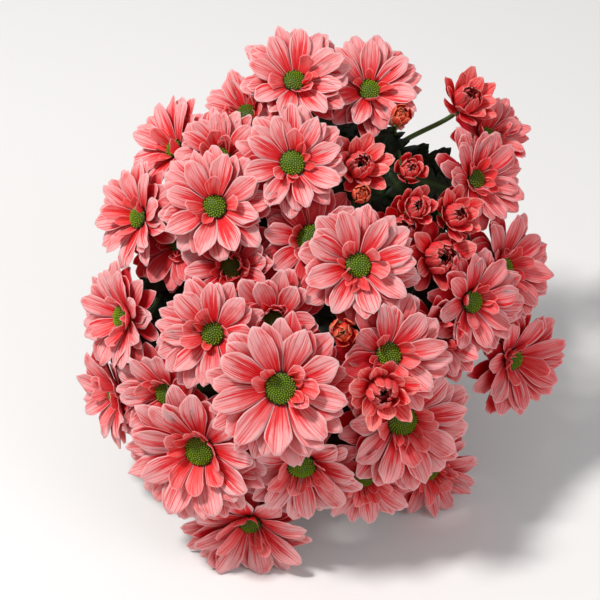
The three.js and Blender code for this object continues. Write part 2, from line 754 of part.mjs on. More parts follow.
// What would lie under the surface is pressed flat on it
function groundBlock() {
  const corner = (x, y, z) => new THREE.Vector3(x * 300, y * 500, z);
  const square = (z) => [corner(-1, -1, z), corner(1, -1, z), corner(1, 1, z), corner(-1, 1, z)];
  return solidOf(skin([[corner(0, 0, -40)], square(-40), square(0), [corner(0, 0, 0)]]));
}

function colourOf(bloom) {
  if (bloom.closed > NEARLY_SHUT) return COLOURS.bud;
  return bloom.closed > HALF_CLOSED ? COLOURS.half : COLOURS.bloom;
}

const spray = new THREE.Group();

function addNode(name, geometry, color, roughness) {
  const material = new THREE.MeshStandardMaterial({ color, roughness, metalness: 0 });
  const mesh = new THREE.Mesh(geometry, material);
  mesh.name = name;
  spray.add(mesh);
}

const blooms = BLOOMS.map(bloomOf);
const rings = blooms.map((bloom) => {
  bloom.rounds = collarOf(bloom);
  return pieceOf(petalsMesh(bloom, Array(2 * bloom.count).fill(null)), bloom.name);
});

// The green parts: each is kept as a piece to test petals against, and all are joined at the end
const line = stemLine();
const hubs = branchEnds();
const greens = [
  tube(line.getSpacedPoints(10), STEM_RADIUS, STEM_TOP_RADIUS, 7),
  ...STEM_LEAVES.map((row) => stemLeaf(line, row)),
  ...HEAD_LEAVES.map((row) => headLeaf(hubs, row)),
  ...Object.values(hubs).map((end) => branchMesh(end)),
  ...Object.values(hubs).map(({ hub, outward }) => knotMesh(hub, outward)),
].map((mesh) => pieceOf(mesh, "stem"));
const stalks = blooms.map((bloom) => stalkPiece(bloom, hubs[bloom.branch], rings));
const green = [...greens, ...stalks];
const joined = green.map((piece) => piece.solid).reduce((all, solid) => all.add(solid));
addNode("stem", geometryOf(joined.subtract(groundBlock())), COLOURS.green, 0.6);

// The petals, from the foremost bloom back; each keeps clear of all that is already there
const placed = [];
const foremostFirst = blooms.slice().sort((a, b) => b.level - a.level);
for (const bloom of foremostFirst) {
  const others = [...green, ...rings, ...placed].filter((piece) => piece.owner !== bloom.name);
  const petals = petalsOf(bloom, stalks[bloom.number], others);
  petals
    .filter((petal) => petal)
    .forEach((petal) => placed.push(pieceOf(petalBlade(bloom, petal, 0, 0), bloom.name)));
  addNode(bloom.name, geometryOf(solidOf(petalsMesh(bloom, petals))), colourOf(bloom), 0.55);
}

export default spray;
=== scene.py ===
import json
import math
import random

import bpy
import numpy as np
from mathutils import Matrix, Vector, kdtree
from mathutils.bvhtree import BVHTree

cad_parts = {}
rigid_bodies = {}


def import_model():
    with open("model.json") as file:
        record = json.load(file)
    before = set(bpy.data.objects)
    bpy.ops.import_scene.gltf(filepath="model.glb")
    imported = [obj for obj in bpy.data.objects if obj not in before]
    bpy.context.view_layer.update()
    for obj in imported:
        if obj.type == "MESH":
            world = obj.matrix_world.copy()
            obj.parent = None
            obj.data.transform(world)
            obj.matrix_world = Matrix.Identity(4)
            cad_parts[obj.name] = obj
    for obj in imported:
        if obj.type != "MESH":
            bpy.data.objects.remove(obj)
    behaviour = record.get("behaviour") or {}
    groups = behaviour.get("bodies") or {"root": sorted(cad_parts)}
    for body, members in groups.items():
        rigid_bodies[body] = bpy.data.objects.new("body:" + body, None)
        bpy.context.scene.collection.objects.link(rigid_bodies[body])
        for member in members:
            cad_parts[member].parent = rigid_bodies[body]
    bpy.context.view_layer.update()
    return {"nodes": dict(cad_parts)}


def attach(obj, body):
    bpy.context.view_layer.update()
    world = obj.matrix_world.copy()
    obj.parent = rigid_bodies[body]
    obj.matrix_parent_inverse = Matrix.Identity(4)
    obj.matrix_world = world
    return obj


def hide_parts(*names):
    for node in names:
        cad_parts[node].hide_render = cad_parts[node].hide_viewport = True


for leftover in list(bpy.data.objects):
    bpy.data.objects.remove(leftover)
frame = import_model()

# All shapes are worked out in millimetres, and become metres when a mesh is made
MILLIMETRE = 0.001
DEGREE = math.pi / 180

# The head: its axis, the front of its dome and the dome's half axes
HEAD_RISE = 42 * DEGREE
HEAD_FRONT = np.array([0.0, -262.0, 159.4])
RIGHT = np.array([1.0, 0.0, 0.0])
FORWARD = np.array([0.0, -math.cos(HEAD_RISE), math.sin(HEAD_RISE)])
UP = np.array([0.0, math.sin(HEAD_RISE), math.cos(HEAD_RISE)])
DOME_HALF_WIDTH = 132
DOME_HALF_HEIGHT = 150
DOME_DEPTH = 110
LEVEL_STEP = 8
SIGHT_DISTANCE = 1100
PICTURE_HALF = 165  # half of what the picture shows at the front of the head

# The ring that a bloom's petals grow from, in disc radii
RING_BACK = 0.55
RING_HALF = 0.21
RING_HALF_LEAST = 1.2
PETAL_START = 0.8

# Petals of the upper and the lower layer, as in the solids
LAYERS = [
    {"rise": 33, "rise_closed": 48, "curl": -16, "curl_closed": 46, "length": 0.96, "root": 0.25},
    {"rise": 16, "rise_closed": 40, "curl": -10, "curl_closed": 56, "length": 1.03, "root": -0.15},
]
PETAL_HALF_WIDTH = 0.18
PETAL_TIP_WIDTH = 0.44
PETAL_TROUGH = 0.2
PETAL_CROWDING = 0.93
LONG_REACH = 31
HALF_CLOSED = 0.3
NEARLY_SHUT = 0.8
STRAY = {"turn": 0.07, "rise": 3, "curl": 6, "length": 0.07, "width": 0.08, "twist": 7, "sweep": 3}
SHORTER = [1, 0.88, 0.76, 0.64]
LIFTS = [0, 8, -8, 16, -16, 26, -26, 38, -38]
SWEEPS = [0, 7, -7, 13, -13]
MATCH = 0.06  # millimetres by which a petal's corners may miss those of the solid

# The visual petal: columns and rows of its surface, which are fewer in a short one, its
# thickness, and its root and tip in shares of its length and of its half width
PETAL_GRID = (9, 11)
SHORT_PETAL_GRID = (7, 8)
SHORT_PETAL = 15  # millimetres
PETAL_THICKNESS = 0.42
PETAL_FULLNESS = 1.08
ROOT_SHARE = -0.05
ROOT_WIDTH = 0.42
TIP_SHARE = 1.03
TIP_NARROWER = 0.14
TIP_DEPTH = 0.22

# How petals differ: the roundness of the tip, how deep it is, its notch, the fold of the blade,
# and how far its outer corners rise
TIP_ROUNDNESS = (1.45, 2.5)
TIP_DEEPER = (0.85, 1.6)
NOTCHES = [0, 0, 0, 0.03]
NOTCH_PLACE = (-0.2, 0.2)
NOTCH_WIDTH = 0.2
BLADE_FOLD = (0.1, 0.36)
CORNER_RISE = (-0.16, 0.22)

# More petals of an open bloom, which the solids leave out: below, between and above their two
# layers. Turn in steps of the layer, degrees, share of the room, height of the root, and the
# share of them that has grown
MORE_LAYERS = [
    {"turn": 0.25, "rise": 3, "curl": -8, "length": 1.0, "root": -0.7, "grown": 1.0},
    {"turn": 0.75, "rise": 25, "curl": -12, "length": 0.92, "root": 0.05, "grown": 1.0},
    {"turn": 0.45, "rise": 50, "curl": 10, "length": 0.58, "root": 0.5, "grown": 0.5},
]
MORE_CLOSING = 40  # degrees by which they stand up and bend in with the closing of the bloom
MORE_LOOSE = 2.6  # how much more the petals of a partly grown layer stray
MORE_WARM = 0.55  # how far these go to warm red
MORE_RIM_LENGTH = 0.16  # petals that point outward at the rim of the head are longer by this
RIM_DISTANCE = 140  # from the middle of the head
MORE_SHORTER = [1, 0.88, 0.76, 0.62]
MORE_LIFTS = [0, 9, -9, 18, 28]
FLOOR_CLEARANCE = 0.3  # their least height over the surface

# Painted shade on petals, from how much of their surroundings the blooms block: ways round the
# bloom's own in degrees from it and their number, how far they are followed, and how far above the
# petal they start
PAINTED_SHADE_WAYS = [(0, 1), (34, 5), (64, 6)]
PAINTED_SHADE_REACH = 45
PAINTED_SHADE_LIFT = 2.2
PAINTED_SHADE_LEAST = 0.12  # shares of blocked ways from which a place gets painted shade, and gets it wholly
PAINTED_SHADE_MOST = 0.7
PAINTED_SHADE_RED = 0.95  # how far such a place is painted deep red as shade
PAINTED_SHADE_UNDER = 0.35  # the share of that painted shade which its underside gets
RIGHT_PAINTED_SHADE = 0.42  # how far the blooms at the right are painted deep red as shade, from where on, and over what distance
RIGHT_FROM = 40
RIGHT_OVER = 80

# Narrow petals inside a closing bloom, which bend over its middle. How many, turn in steps of
# the layer, degrees beyond those of the upper layer, share of the room, half width as a share
# of the reach, and how far from the axis the tips stay, in disc radii of a fully open bloom
YOUNG_LAYERS = [
    {"count": 10, "turn": 0.5, "rise": -10, "length": 1.0, "width": 0.11, "mouth": 1.5},
    {"count": 11, "turn": 0.0, "rise": 3, "length": 0.88, "width": 0.095, "mouth": 1.2},
    {"count": 11, "turn": 0.5, "rise": 8, "length": 0.74, "width": 0.08, "mouth": 0.9},
    {"count": 8, "turn": 0.0, "rise": 12, "length": 0.6, "width": 0.08, "mouth": 0.5},
]
BUD_LAYERS = 2  # how many of them a nearly shut bud has
YOUNG_CLOSING = 34  # degrees by which the outer petals of a shut bud bend in further
YOUNG_WARM = 0.4  # how far the narrow petals go to warm red

# Short folded petals round the disc of an open bloom: their number, more with its closing, the
# part of the round over which they are gathered, and the ranges of their other numbers
FOLDED_COUNT = (2, 6)
FOLDED_MORE = 50
FOLDED_SPREAD = 1.6
FOLDED_SPREAD_MORE = 8
FOLDED_CLOSING = 180  # degrees by which they bend in with the bloom's closing
FOLDED_LONGER = 1.3  # by how much they are longer with it
FOLDED = {
    "rise": (50, 66),
    "curl": (-30, 10),
    "length": (0.26, 0.4),
    "width": (0.07, 0.11),
    "twist": (-50, 50),
    "sweep": (-14, 14),
    "fold": (0.5, 0.9),
}

# Each bloom: name, place right and up of the head's middle, reach, disc radius, degrees that it
# faces right and up, level, petals in each of two layers, how closed it is (1 is a bud), branch
BLOOMS = [
    ("bloom_01", -3, 121, 31.5, 6.4, 0, 20, 1, 8, 0.05, "top"),
    ("bloom_02", -30, 103, 25.5, 6.0, -20, 20, 0, 7, 0.12, "top"),
    ("bloom_03", -43.5, 79, 26, 5.6, -12, 12, 1, 7, 0.05, "upper_left"),
    ("bloom_04", -4, 75.5, 30.5, 7.2, 0, 4, 2, 8, 0.0, "top"),
    ("bloom_05", 38.5, 116, 30.5, 6.4, 8, 16, 0, 7, 0.0, "upper_right"),
    ("bloom_06", 103, 91, 26.5, 5.6, 30, 25, -0.4, 7, 0.1, "right"),
    ("bloom_07", 97.5, 66.5, 29, 5.8, 32, 5, 1.2, 7, 0.1, "right"),
    ("bloom_08", -70, 83.5, 29.5, 5.4, -45, 18, 0, 7, 0.05, "upper_left"),
    ("bloom_09", -90, 45.5, 30.5, 6.4, -48, 5, 1, 8, 0.0, "left"),
    ("bloom_10", -47, 51.5, 31.5, 6.6, -6, 2, 2.1, 8, 0.0, "upper_left"),
    ("bloom_11", -67.5, 32.5, 29, 6.4, -25, 0, -1, 7, 0.1, "left"),
    ("bloom_12", 6.5, 33.5, 30, 8.4, 2, 5, 0, 8, 0.0, "centre"),
    ("bloom_13", 32, 19, 33, 7.2, 5, 0, 2, 8, 0.0, "centre"),
    ("bloom_14", 113, 18, 33, 6.4, 42, 3, 0.3, 8, 0.0, "lower_right"),
    ("bloom_15", -99, -10, 31.5, 7.2, -50, -5, 1, 8, 0.0, "left"),
    ("bloom_16", -48.5, -18.5, 31, 6.6, -12, -4, 2, 8, 0.0, "low_left"),
    ("bloom_17", -38, 18, 28, 6.6, -8, 0, -0.1, 7, 0.2, "centre"),
    ("bloom_18", -14, -11.5, 29, 6.6, -2, -4, 1, 7, 0.2, "low_left"),
    ("bloom_19", -10.5, -49, 40, 9.0, -2, -8, 3.2, 9, 0.0, "low"),
    ("bloom_20", 49, -30.5, 33.5, 7.2, 12, -6, 2.2, 8, 0.0, "low_right"),
    ("bloom_21", 77, -18, 29, 6.0, 25, -8, 0.5, 7, 0.25, "lower_right"),
    ("bloom_22", 95.5, -1, 31, 6.6, 32, -8, 1.3, 8, 0.0, "lower_right"),
    ("bloom_23", 118, -33, 33.5, 6.4, 36, -15, -0.4, 7, 0.05, "lower_right"),
    ("bloom_24", -103, -52, 30.5, 6.4, -62, -15, 0, 8, 0.0, "low_left"),
    ("bloom_25", -74.5, -52, 29.5, 6.4, -28, -12, 1, 7, 0.05, "low_left"),
    ("bloom_26", -56, -83.5, 40.5, 9.0, -20, -18, 1.6, 9, 0.0, "low"),
    ("bloom_27", 1, -92.5, 34, 8.2, 0, -38, 1, 8, 0.0, "bottom"),
    ("bloom_28", 57, -67.5, 38, 8.8, 18, -16, 1.1, 9, 0.0, "low_right"),
    ("bloom_29", 36, -98.5, 30.5, 6.2, 8, -40, -0.6, 7, 0.05, "bottom"),
    ("bloom_30", 71.5, -95, 30, 6.4, 25, -38, -4.58, 7, 0.05, "bottom"),
    ("bloom_31", -27.5, -124, 37.5, 6.4, -5, -38, 0.07, 8, 0.05, "bottom"),
    ("half_open_01", 90, 108, 24, 5.6, 20, 22, 0.8, 6, 0.42, "upper_right"),
    ("half_open_02", 59.5, 71, 17, 4.6, 10, 8, 1.6, 6, 0.72, "upper_right"),
    ("half_open_03", 31.5, 73, 23, 5.2, 12, 10, 0, 6, 0.42, "top"),
    ("half_open_04", 55, 38, 23, 5.2, 8, 5, -0.6, 6, 0.4, "centre"),
    ("half_open_05", 62.5, 50.5, 18.5, 4.8, 12, 5, 1.4, 6, 0.62, "right"),
    ("half_open_06", 83.5, 46, 21.5, 5.2, 20, 6, 1.5, 6, 0.55, "right"),
    ("half_open_07", 75.5, 23, 27, 6.0, 18, 0, 0.2, 6, 0.34, "right"),
    ("half_open_08", 44.5, -49.5, 25.5, 6.4, 8, -12, 4.4, 6, 0.5, "low_right"),
    ("bud_01", 55, 100.5, 16, 4.6, 10, 15, 1.5, 5, 0.95, "upper_right"),
    ("bud_02", 33.5, 58, 14, 4.2, 3, 3, 1.0, 5, 0.95, "centre"),
    ("bud_03", 23, -17.5, 18, 5.4, 3, -5, 2.4, 5, 0.86, "low_right"),
]

# Each side branch: its end (right, up, forward of the head's middle), and how far behind the
# front of the dome it leaves the main stem
BRANCHES = {
    "top": (-8, 84, -88, -138),
    "upper_right": (52, 84, -92, -150),
    "right": (76, 50, -92, -132),
    "upper_left": (-54, 62, -82, -144),
    "centre": (10, 30, -62, -96),
    "left": (-72, 18, -92, -156),
    "lower_right": (82, -2, -88, -126),
    "low_left": (-62, -34, -84, -130),
    "low": (-24, -52, -64, -108),
    "low_right": (42, -42, -66, -114),
    "bottom": (6, -84, -92, -140),
}

# The main stem's way: where it lies, as x, y and height over its lying height, and then places
# of the head, right, up and forward
STEM_LYING = [(1, 34, 0), (0, 0, 0), (0, -34, 2.5)]
STEM_RISING = [(2, 0, -196), (0, 0, -150), (-3, -4, -108), (0, -8, -86)]

# Stem, branches and pedicels
STEM_RADIUS = 4.2
STEM_TOP_RADIUS = 2.6
STEM_LIE = 3.4
BRANCH_RADIUS = 1.9
BRANCH_FOOT_RADIUS = 2.4
PEDICEL_RADIUS = 1.4
PEDICEL_START = 2
KNOT_RADIUS = 2.8
CUP_RADIUS = 0.82
CUP_DEPTH = 0.75
NECK_GAP = 0.4
RIM_LIFT = 0.12
DISC_RISE = 0.42
DISC_ROUND = 2.4  # how much flatter the middle of its dome is than the rim
CUP_SIDES = 24

# Florets: their spacing, the turn from one to the next, and their rings as width and height
FLORET_SPACING = 0.95
FLORET_TURN = 137.508 * DEGREE
FLORET_RINGS = ((0.85, 0), (0.95, 0.6), (0.4, 1))

# Bracts: for each tier its depth at foot and tip in disc radii and their number, and for each
# row of a bract its place along it and its half width
BRACT_TIERS = ((0.72, 0.28, 9), (0.55, -0.02, 11))
BRACT_ROWS = ((0, 0.5), (0.4, 0.9), (0.75, 0.8), (1, 0.12))

# Leaves on the main stem: where along it, side as degrees round it, length, degrees that the
# blade leaves the stem, and degrees that it arches
STEM_LEAVES = [
    (0.3, 68, 62, 52, -44),
    (0.36, -74, 66, 50, -42),
    (0.44, 20, 58, 48, -30),
    (0.52, 104, 84, 62, -26),
    (0.56, -108, 86, 60, -26),
    (0.63, -18, 60, 56, -20),
    (0.7, 76, 70, 66, -22),
    (0.72, -66, 70, 66, -22),
]

# Leaves at the ends of branches: branch, degrees round the head's axis, length, lean, arch
HEAD_LEAVES = [
    ("top", 38, 46, 14, -20),
    ("upper_right", -32, 50, 12, -16),
    ("right", 118, 42, 16, -22),
    ("centre", -66, 44, 8, -18),
    ("left", -128, 46, 10, -18),
    ("lower_right", -112, 44, 14, -20),
]

# Further leaves at the ends of branches, which the solids leave out
MORE_HEAD_LEAVES = [
    ("centre", 159, 44, 6, -16),
    ("right", 168, 42, 10, -18),
]

# A leaf as shares of its length: how its halves rise, its half width, and its cut edge
LEAF_FOLD = 0.16
LEAF_HALF_WIDTH = 0.36
LEAF_THICKNESS = 0.7
LEAF_EDGE = [
    (-0.04, 0.04),
    (0.12, 0.05),
    (0.2, 0.36),
    (0.33, 0.66),
    (0.38, 0.36),
    (0.58, 0.92),
    (0.64, 0.46),
    (0.8, 0.7),
    (0.86, 0.3),
    (1.0, 0.0),
]
LEAF_GRID = (45, 15)

# Side veins: where each leaves the midrib, where it ends, and how far out
LEAF_VEINS = [(0.16, 0.33, 0.66), (0.34, 0.58, 0.92), (0.58, 0.8, 0.7)]

# Leaves on the pedicels: where along them, their length, the turns and the shares of the length
# that are tried, how far behind the front of the head they stay, and how far inside its outline
PEDICEL_LEAVES = (0.2, 0.4, 0.6, 0.8)
PEDICEL_LEAF_LENGTH = (32, 44)
PEDICEL_LEAF_TURNS = 16
PEDICEL_LEAF_SHORTER = (1, 0.75, 0.55)
PEDICEL_LEAF_ARCH = -14
PEDICEL_LEAF_GRID = (25, 7)
LEAF_DEPTH = 16
LEAF_MARGIN = (12, 18)
LEAF_SHEETS = [(0, 1, 2, 3), (4, 5, 6, 7), (0, 1, 5, 4), (1, 2, 6, 5), (2, 3, 7, 6), (3, 0, 4, 7)]

# Colours as seen on a screen, 0 to 255. Those of petals go from the root to the tip and end with
# the back; the red goes up by red_reach, and the pale rim starts at rim_from of the half width
PALETTES = {
    "petals": {
        "deep": (188, 6, 16),
        "flush": (224, 22, 30),
        "middle": (229, 46, 54),
        "pale": (241, 117, 121),
        "tip": (249, 184, 185),
        "back": (222, 92, 100),
        "red_reach": 1.0,
        "rim_from": 0.86,
    },
    "young_petals": {
        "deep": (174, 5, 15),
        "flush": (221, 20, 30),
        "middle": (231, 42, 50),
        "pale": (240, 96, 98),
        "tip": (249, 160, 154),
        "back": (214, 44, 54),
        "red_reach": 1.3,
        "rim_from": 0.76,
    },
    "bud_petals": {
        "deep": (176, 8, 12),
        "flush": (216, 26, 18),
        "middle": (228, 44, 30),
        "pale": (243, 98, 68),
        "tip": (252, 160, 118),
        "back": (220, 40, 30),
        "red_reach": 1.2,
        "rim_from": 0.7,
    },
}
WARM_TONE = (240, 48, 46)
# Deep red painted as shade on petals hidden among the blooms
PAINTED_SHADE_TONE = (206, 22, 38)
STALK_TONES = ((48, 74, 26), (84, 112, 48))
FLORET_TONES = ((74, 104, 8), (140, 172, 26))
FLORET_OTHER_TONE = (98, 132, 12)
# The near-black of a closing bloom's sunken disc, painted as shade
FLORET_SUNKEN_SHADE_TONE = (30, 34, 6)
# A dark ring at the disc's edge, painted as the shade that the petals cast there
FLORET_RIM_SHADE_TONE = (44, 26, 8)
BRACT_TONES = ((66, 92, 40), (120, 138, 76))
# Nearly black leaves: their colour is painted shade, as they lie in the shade between the blooms
BLADE_SHADE_TONES = ((8, 18, 6), (16, 31, 10))
VEIN_TONE = (50, 70, 30)
BLADE_BACK_TONE = (60, 78, 46)

# Lights, with places right, up and forward of the head in metres, width and power in watts
KEY_LIGHT = {"place": (-0.75, 0.95, 1.1), "size": 0.26, "power": 25.4, "tone": (1.0, 0.97, 0.94)}
FILL_LIGHT = {"place": (1.4, 0.1, 1.3), "size": 1.4, "power": 7.5, "tone": (1.0, 1.0, 1.0)}
WORLD_STRENGTH = 0.36
FLOOR_WIDTH = 12

# Green kinds, which the tint of a green piece names
STALK = 0.0
FLORET = 1.0
BRACT = 2.0
BLADE = 3.0


def unit(vector):
    """The vector at a length of 1."""
    return vector / np.linalg.norm(vector)


def turned(vector, axis, angle):
    """A vector turned about an axis at right angles to it."""
    return vector * math.cos(angle) + np.cross(axis, vector) * math.sin(angle)


def draws_from(seed):
    """Repeatable draws between -1 and 1, the same as those of the solids."""
    state = seed * 7919 + 12345
    while True:
        state = (state * 1664525 + 1013904223) % 4294967296
        yield state / 2147483648 - 1


def head_point(right, up, forward):
    """A place of the head from what the eye sees: right and up narrow with nearness."""
    spread = (SIGHT_DISTANCE - forward) / SIGHT_DISTANCE
    return HEAD_FRONT + RIGHT * (right * spread) + UP * (up * spread) + FORWARD * forward


def dome_forward(right, up):
    """How far forward the dome of the head stands, which is 0 at its front."""
    share = (right / DOME_HALF_WIDTH) ** 2 + (up / DOME_HALF_HEIGHT) ** 2
    return -DOME_DEPTH * (1 - math.sqrt(max(0.03, 1 - share)))


class Bloom:
    """A bloom's own frame and sizes."""

    def __init__(self, row, number):
        self.name, right, up, self.reach, self.disc = row[:5]
        face_right, face_up, level, self.count, self.closed, self.branch = row[5:]
        self.number = number
        self.right = right
        self.up = up
        turn_right = face_right * DEGREE
        turn_up = face_up * DEGREE
        self.facing = (
            FORWARD * (math.cos(turn_right) * math.cos(turn_up))
            + RIGHT * (math.sin(turn_right) * math.cos(turn_up))
            + UP * math.sin(turn_up)
        )
        start = unit(UP - self.facing * np.dot(UP, self.facing))
        first_draw = next(draws_from(number + 1))
        self.across = turned(start, self.facing, first_draw * math.pi)
        self.sideways = np.cross(self.facing, self.across)
        self.half = max(RING_HALF_LEAST, RING_HALF * self.disc)
        forward = dome_forward(right, up) + level * LEVEL_STEP
        self.centre = head_point(right, up, forward) - self.facing * (RING_BACK * self.disc)
        opening = 0.62 if self.closed > NEARLY_SHUT else 1 - 0.42 * self.closed
        self.rim = self.disc * opening
        self.rim_height = self.half + 0.55 + RIM_LIFT * self.disc

    def outward(self, angle):
        """The direction away from the bloom's axis at an angle round it."""
        return self.across * math.cos(angle) + self.sideways * math.sin(angle)

    def place(self, radius, angle, height):
        return self.centre + self.outward(angle) * radius + self.facing * height


class Shape:
    """Points, faces and, for each point, a spot on its form and a tint.

    The spot is across, along and a draw of its own, or for a leaf the vein. The tint of a petal
    is its painted shade and how warm it is, and that of a green piece is its kind and the painted
    shade of a closing bloom's disc. Its last number is 1 on an underside.
    """

    def __init__(self):
        self.points = []
        self.faces = []
        self.spots = []
        self.tints = []

    def add(self, points, faces, spots, tints):
        start = sum(len(part) for part in self.points)
        self.points.append(points)
        self.faces.extend(tuple(start + i for i in face) for face in faces)
        self.spots.append(spots)
        self.tints.append(tints)


def grid_faces(rows, columns, closed_round, flipped=False):
    """Four-cornered faces between rows of points; round closes each row on itself."""
    faces = []
    steps = columns if closed_round else columns - 1
    for i in range(rows - 1):
        for k in range(steps):
            here = i * columns + k
            after = i * columns + (k + 1) % columns
            face = (here, after, after + columns, here + columns)
            faces.append(face[::-1] if flipped else face)
    return faces


def sheet_faces(rows, columns, flipped=False):
    """Both faces of a sheet, and its edge; the points of the underside follow those on top."""
    count = rows * columns
    top = grid_faces(rows, columns, False, flipped)
    under = [tuple(i + count for i in face[::-1]) for face in top]
    rim = list(range(columns))
    rim += [i * columns + columns - 1 for i in range(1, rows)]
    rim += [(rows - 1) * columns + k for k in range(columns - 2, -1, -1)]
    rim += [i * columns for i in range(rows - 2, 0, -1)]
    edge = [(b, a, a + count, b + count) for a, b in zip(rim, rim[1:] + rim[:1])]
    if flipped:
        edge = [face[::-1] for face in edge]
    return top + under + edge


def make_piece(name, shape, material, nodes):
    """A mesh in metres that rides on the spray and stands for the named solids."""
    points = np.concatenate(shape.points) * MILLIMETRE
    mesh = bpy.data.meshes.new(name)
    mesh.from_pydata(points.tolist(), [], shape.faces)
    mesh.polygons.foreach_set("use_smooth", [True] * len(mesh.polygons))
    for label, parts in (("spot", shape.spots), ("tint", shape.tints)):
        values = mesh.attributes.new(label, "FLOAT_VECTOR", "POINT")
        values.data.foreach_set("vector", np.concatenate(parts).astype(np.float32).ravel())
    mesh.materials.append(material)
    piece = bpy.data.objects.new(name, mesh)
    bpy.context.scene.collection.objects.link(piece)
    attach(piece, "root")
    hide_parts(*nodes)
    return piece


def tree_of(node):
    """The corners of a solid, in millimetres, for finding the nearest."""
    vertices = frame["nodes"][node].data.vertices
    tree = kdtree.KDTree(len(vertices))
    for vertex in vertices:
        tree.insert(vertex.co / MILLIMETRE, vertex.index)
    tree.balance()
    return tree


def petal_numbers(bloom, layer, index, draws):
    """One petal's numbers, from its layer (0 is the upper) and its turn in the layer."""
    kind = LAYERS[layer]
    step = 2 * math.pi / bloom.count
    room = bloom.reach - PETAL_START * bloom.disc
    petal = {"layer": layer, "root": kind["root"], "draw": (index * 0.37 + layer * 0.19) % 1}
    petal["angle"] = (index + 0.5 * layer) * step + STRAY["turn"] * step * next(draws)
    petal["rise"] = kind["rise"] + kind["rise_closed"] * bloom.closed + STRAY["rise"] * next(draws)
    petal["curl"] = kind["curl"] + kind["curl_closed"] * bloom.closed + STRAY["curl"] * next(draws)
    petal["length"] = room * kind["length"] * (1 + STRAY["length"] * next(draws))
    petal["width"] = bloom.reach * PETAL_HALF_WIDTH * (1 + STRAY["width"] * next(draws))
    petal["twist"] = STRAY["twist"] * next(draws)
    petal["sweep"] = STRAY["sweep"] * next(draws)
    return petal


def petal_choices(petal):
    """The ways in which the petal may have given way to others, the least change first."""
    choices = []
    for shorter in SHORTER:
        for lift in LIFTS:
            for sweep in SWEEPS:
                choice = dict(petal)
                choice["length"] = petal["length"] * shorter
                choice["curl"] = petal["curl"] + lift
                choice["sweep"] = petal["sweep"] + sweep
                choice["effort"] = (1 - shorter) * 120 + abs(lift) + abs(sweep) * 1.4
                choices.append(choice)
    return sorted(choices, key=lambda choice: choice["effort"])


def petal_frame(bloom, petal, share):
    """Along an array of shares of its length: middle, sideways and upward directions, radius."""
    start = petal["rise"] * DEGREE
    curl = (0.01 if abs(petal["curl"]) < 0.01 else petal["curl"]) * DEGREE
    here = start + curl * share
    radius = PETAL_START * bloom.disc + petal["length"] * (np.sin(here) - math.sin(start)) / curl
    height = (
        petal["root"] * bloom.half - petal["length"] * (np.cos(here) - math.cos(start)) / curl
    )
    angle = petal["angle"] + petal["sweep"] * DEGREE * share**2
    outward = np.cos(angle)[..., None] * bloom.across + np.sin(angle)[..., None] * bloom.sideways
    along = np.cos(here)[..., None] * outward + np.sin(here)[..., None] * bloom.facing
    level = np.cross(outward, bloom.facing)
    twist = (petal["twist"] * DEGREE * share)[..., None]
    level = level * np.cos(twist) + np.cross(along, level) * np.sin(twist)
    normal = np.cross(level, along)
    middle = bloom.centre + outward * radius[..., None] + height[..., None] * bloom.facing
    return middle, level, normal, radius


def petal_width(bloom, petal, radius, width_share):
    """The half width of a petal, which is narrower where its neighbours crowd it."""
    room = PETAL_CROWDING * math.pi * np.maximum(radius, 0.6) / petal.get("round", bloom.count)
    return np.minimum(petal["width"] * width_share, room)


def petal_corners(bloom, petal):
    """The edge points of the faceted petal in the solids."""
    fine = petal["layer"] == 0 and bloom.closed < HALF_CLOSED and bloom.reach > LONG_REACH
    sections = ((0.42, 0.88), (0.8, 0.96)) if fine else ((0.64, 1.0),)
    shares = np.array([share for share, _ in sections] + [1.0])
    widths = np.array([width for _, width in sections] + [PETAL_TIP_WIDTH])
    middle, level, normal, radius = petal_frame(bloom, petal, shares)
    width = petal_width(bloom, petal, radius, widths)[:, None]
    lifted = middle + normal * (PETAL_TROUGH * width)
    return np.concatenate([lifted - level * width, lifted + level * width])


def petals_of(bloom):
    """The petals as they stand in the solid: for each, the choice whose corners are there."""
    tree = tree_of(bloom.name)
    draws = draws_from(100 + bloom.number)
    found = []
    for layer in range(2):
        for index in range(bloom.count):
            for choice in petal_choices(petal_numbers(bloom, layer, index, draws)):
                misses = (tree.find(corner)[2] for corner in petal_corners(bloom, choice))
                if all(miss < MATCH for miss in misses):
                    found.append(choice)
                    break
    return found


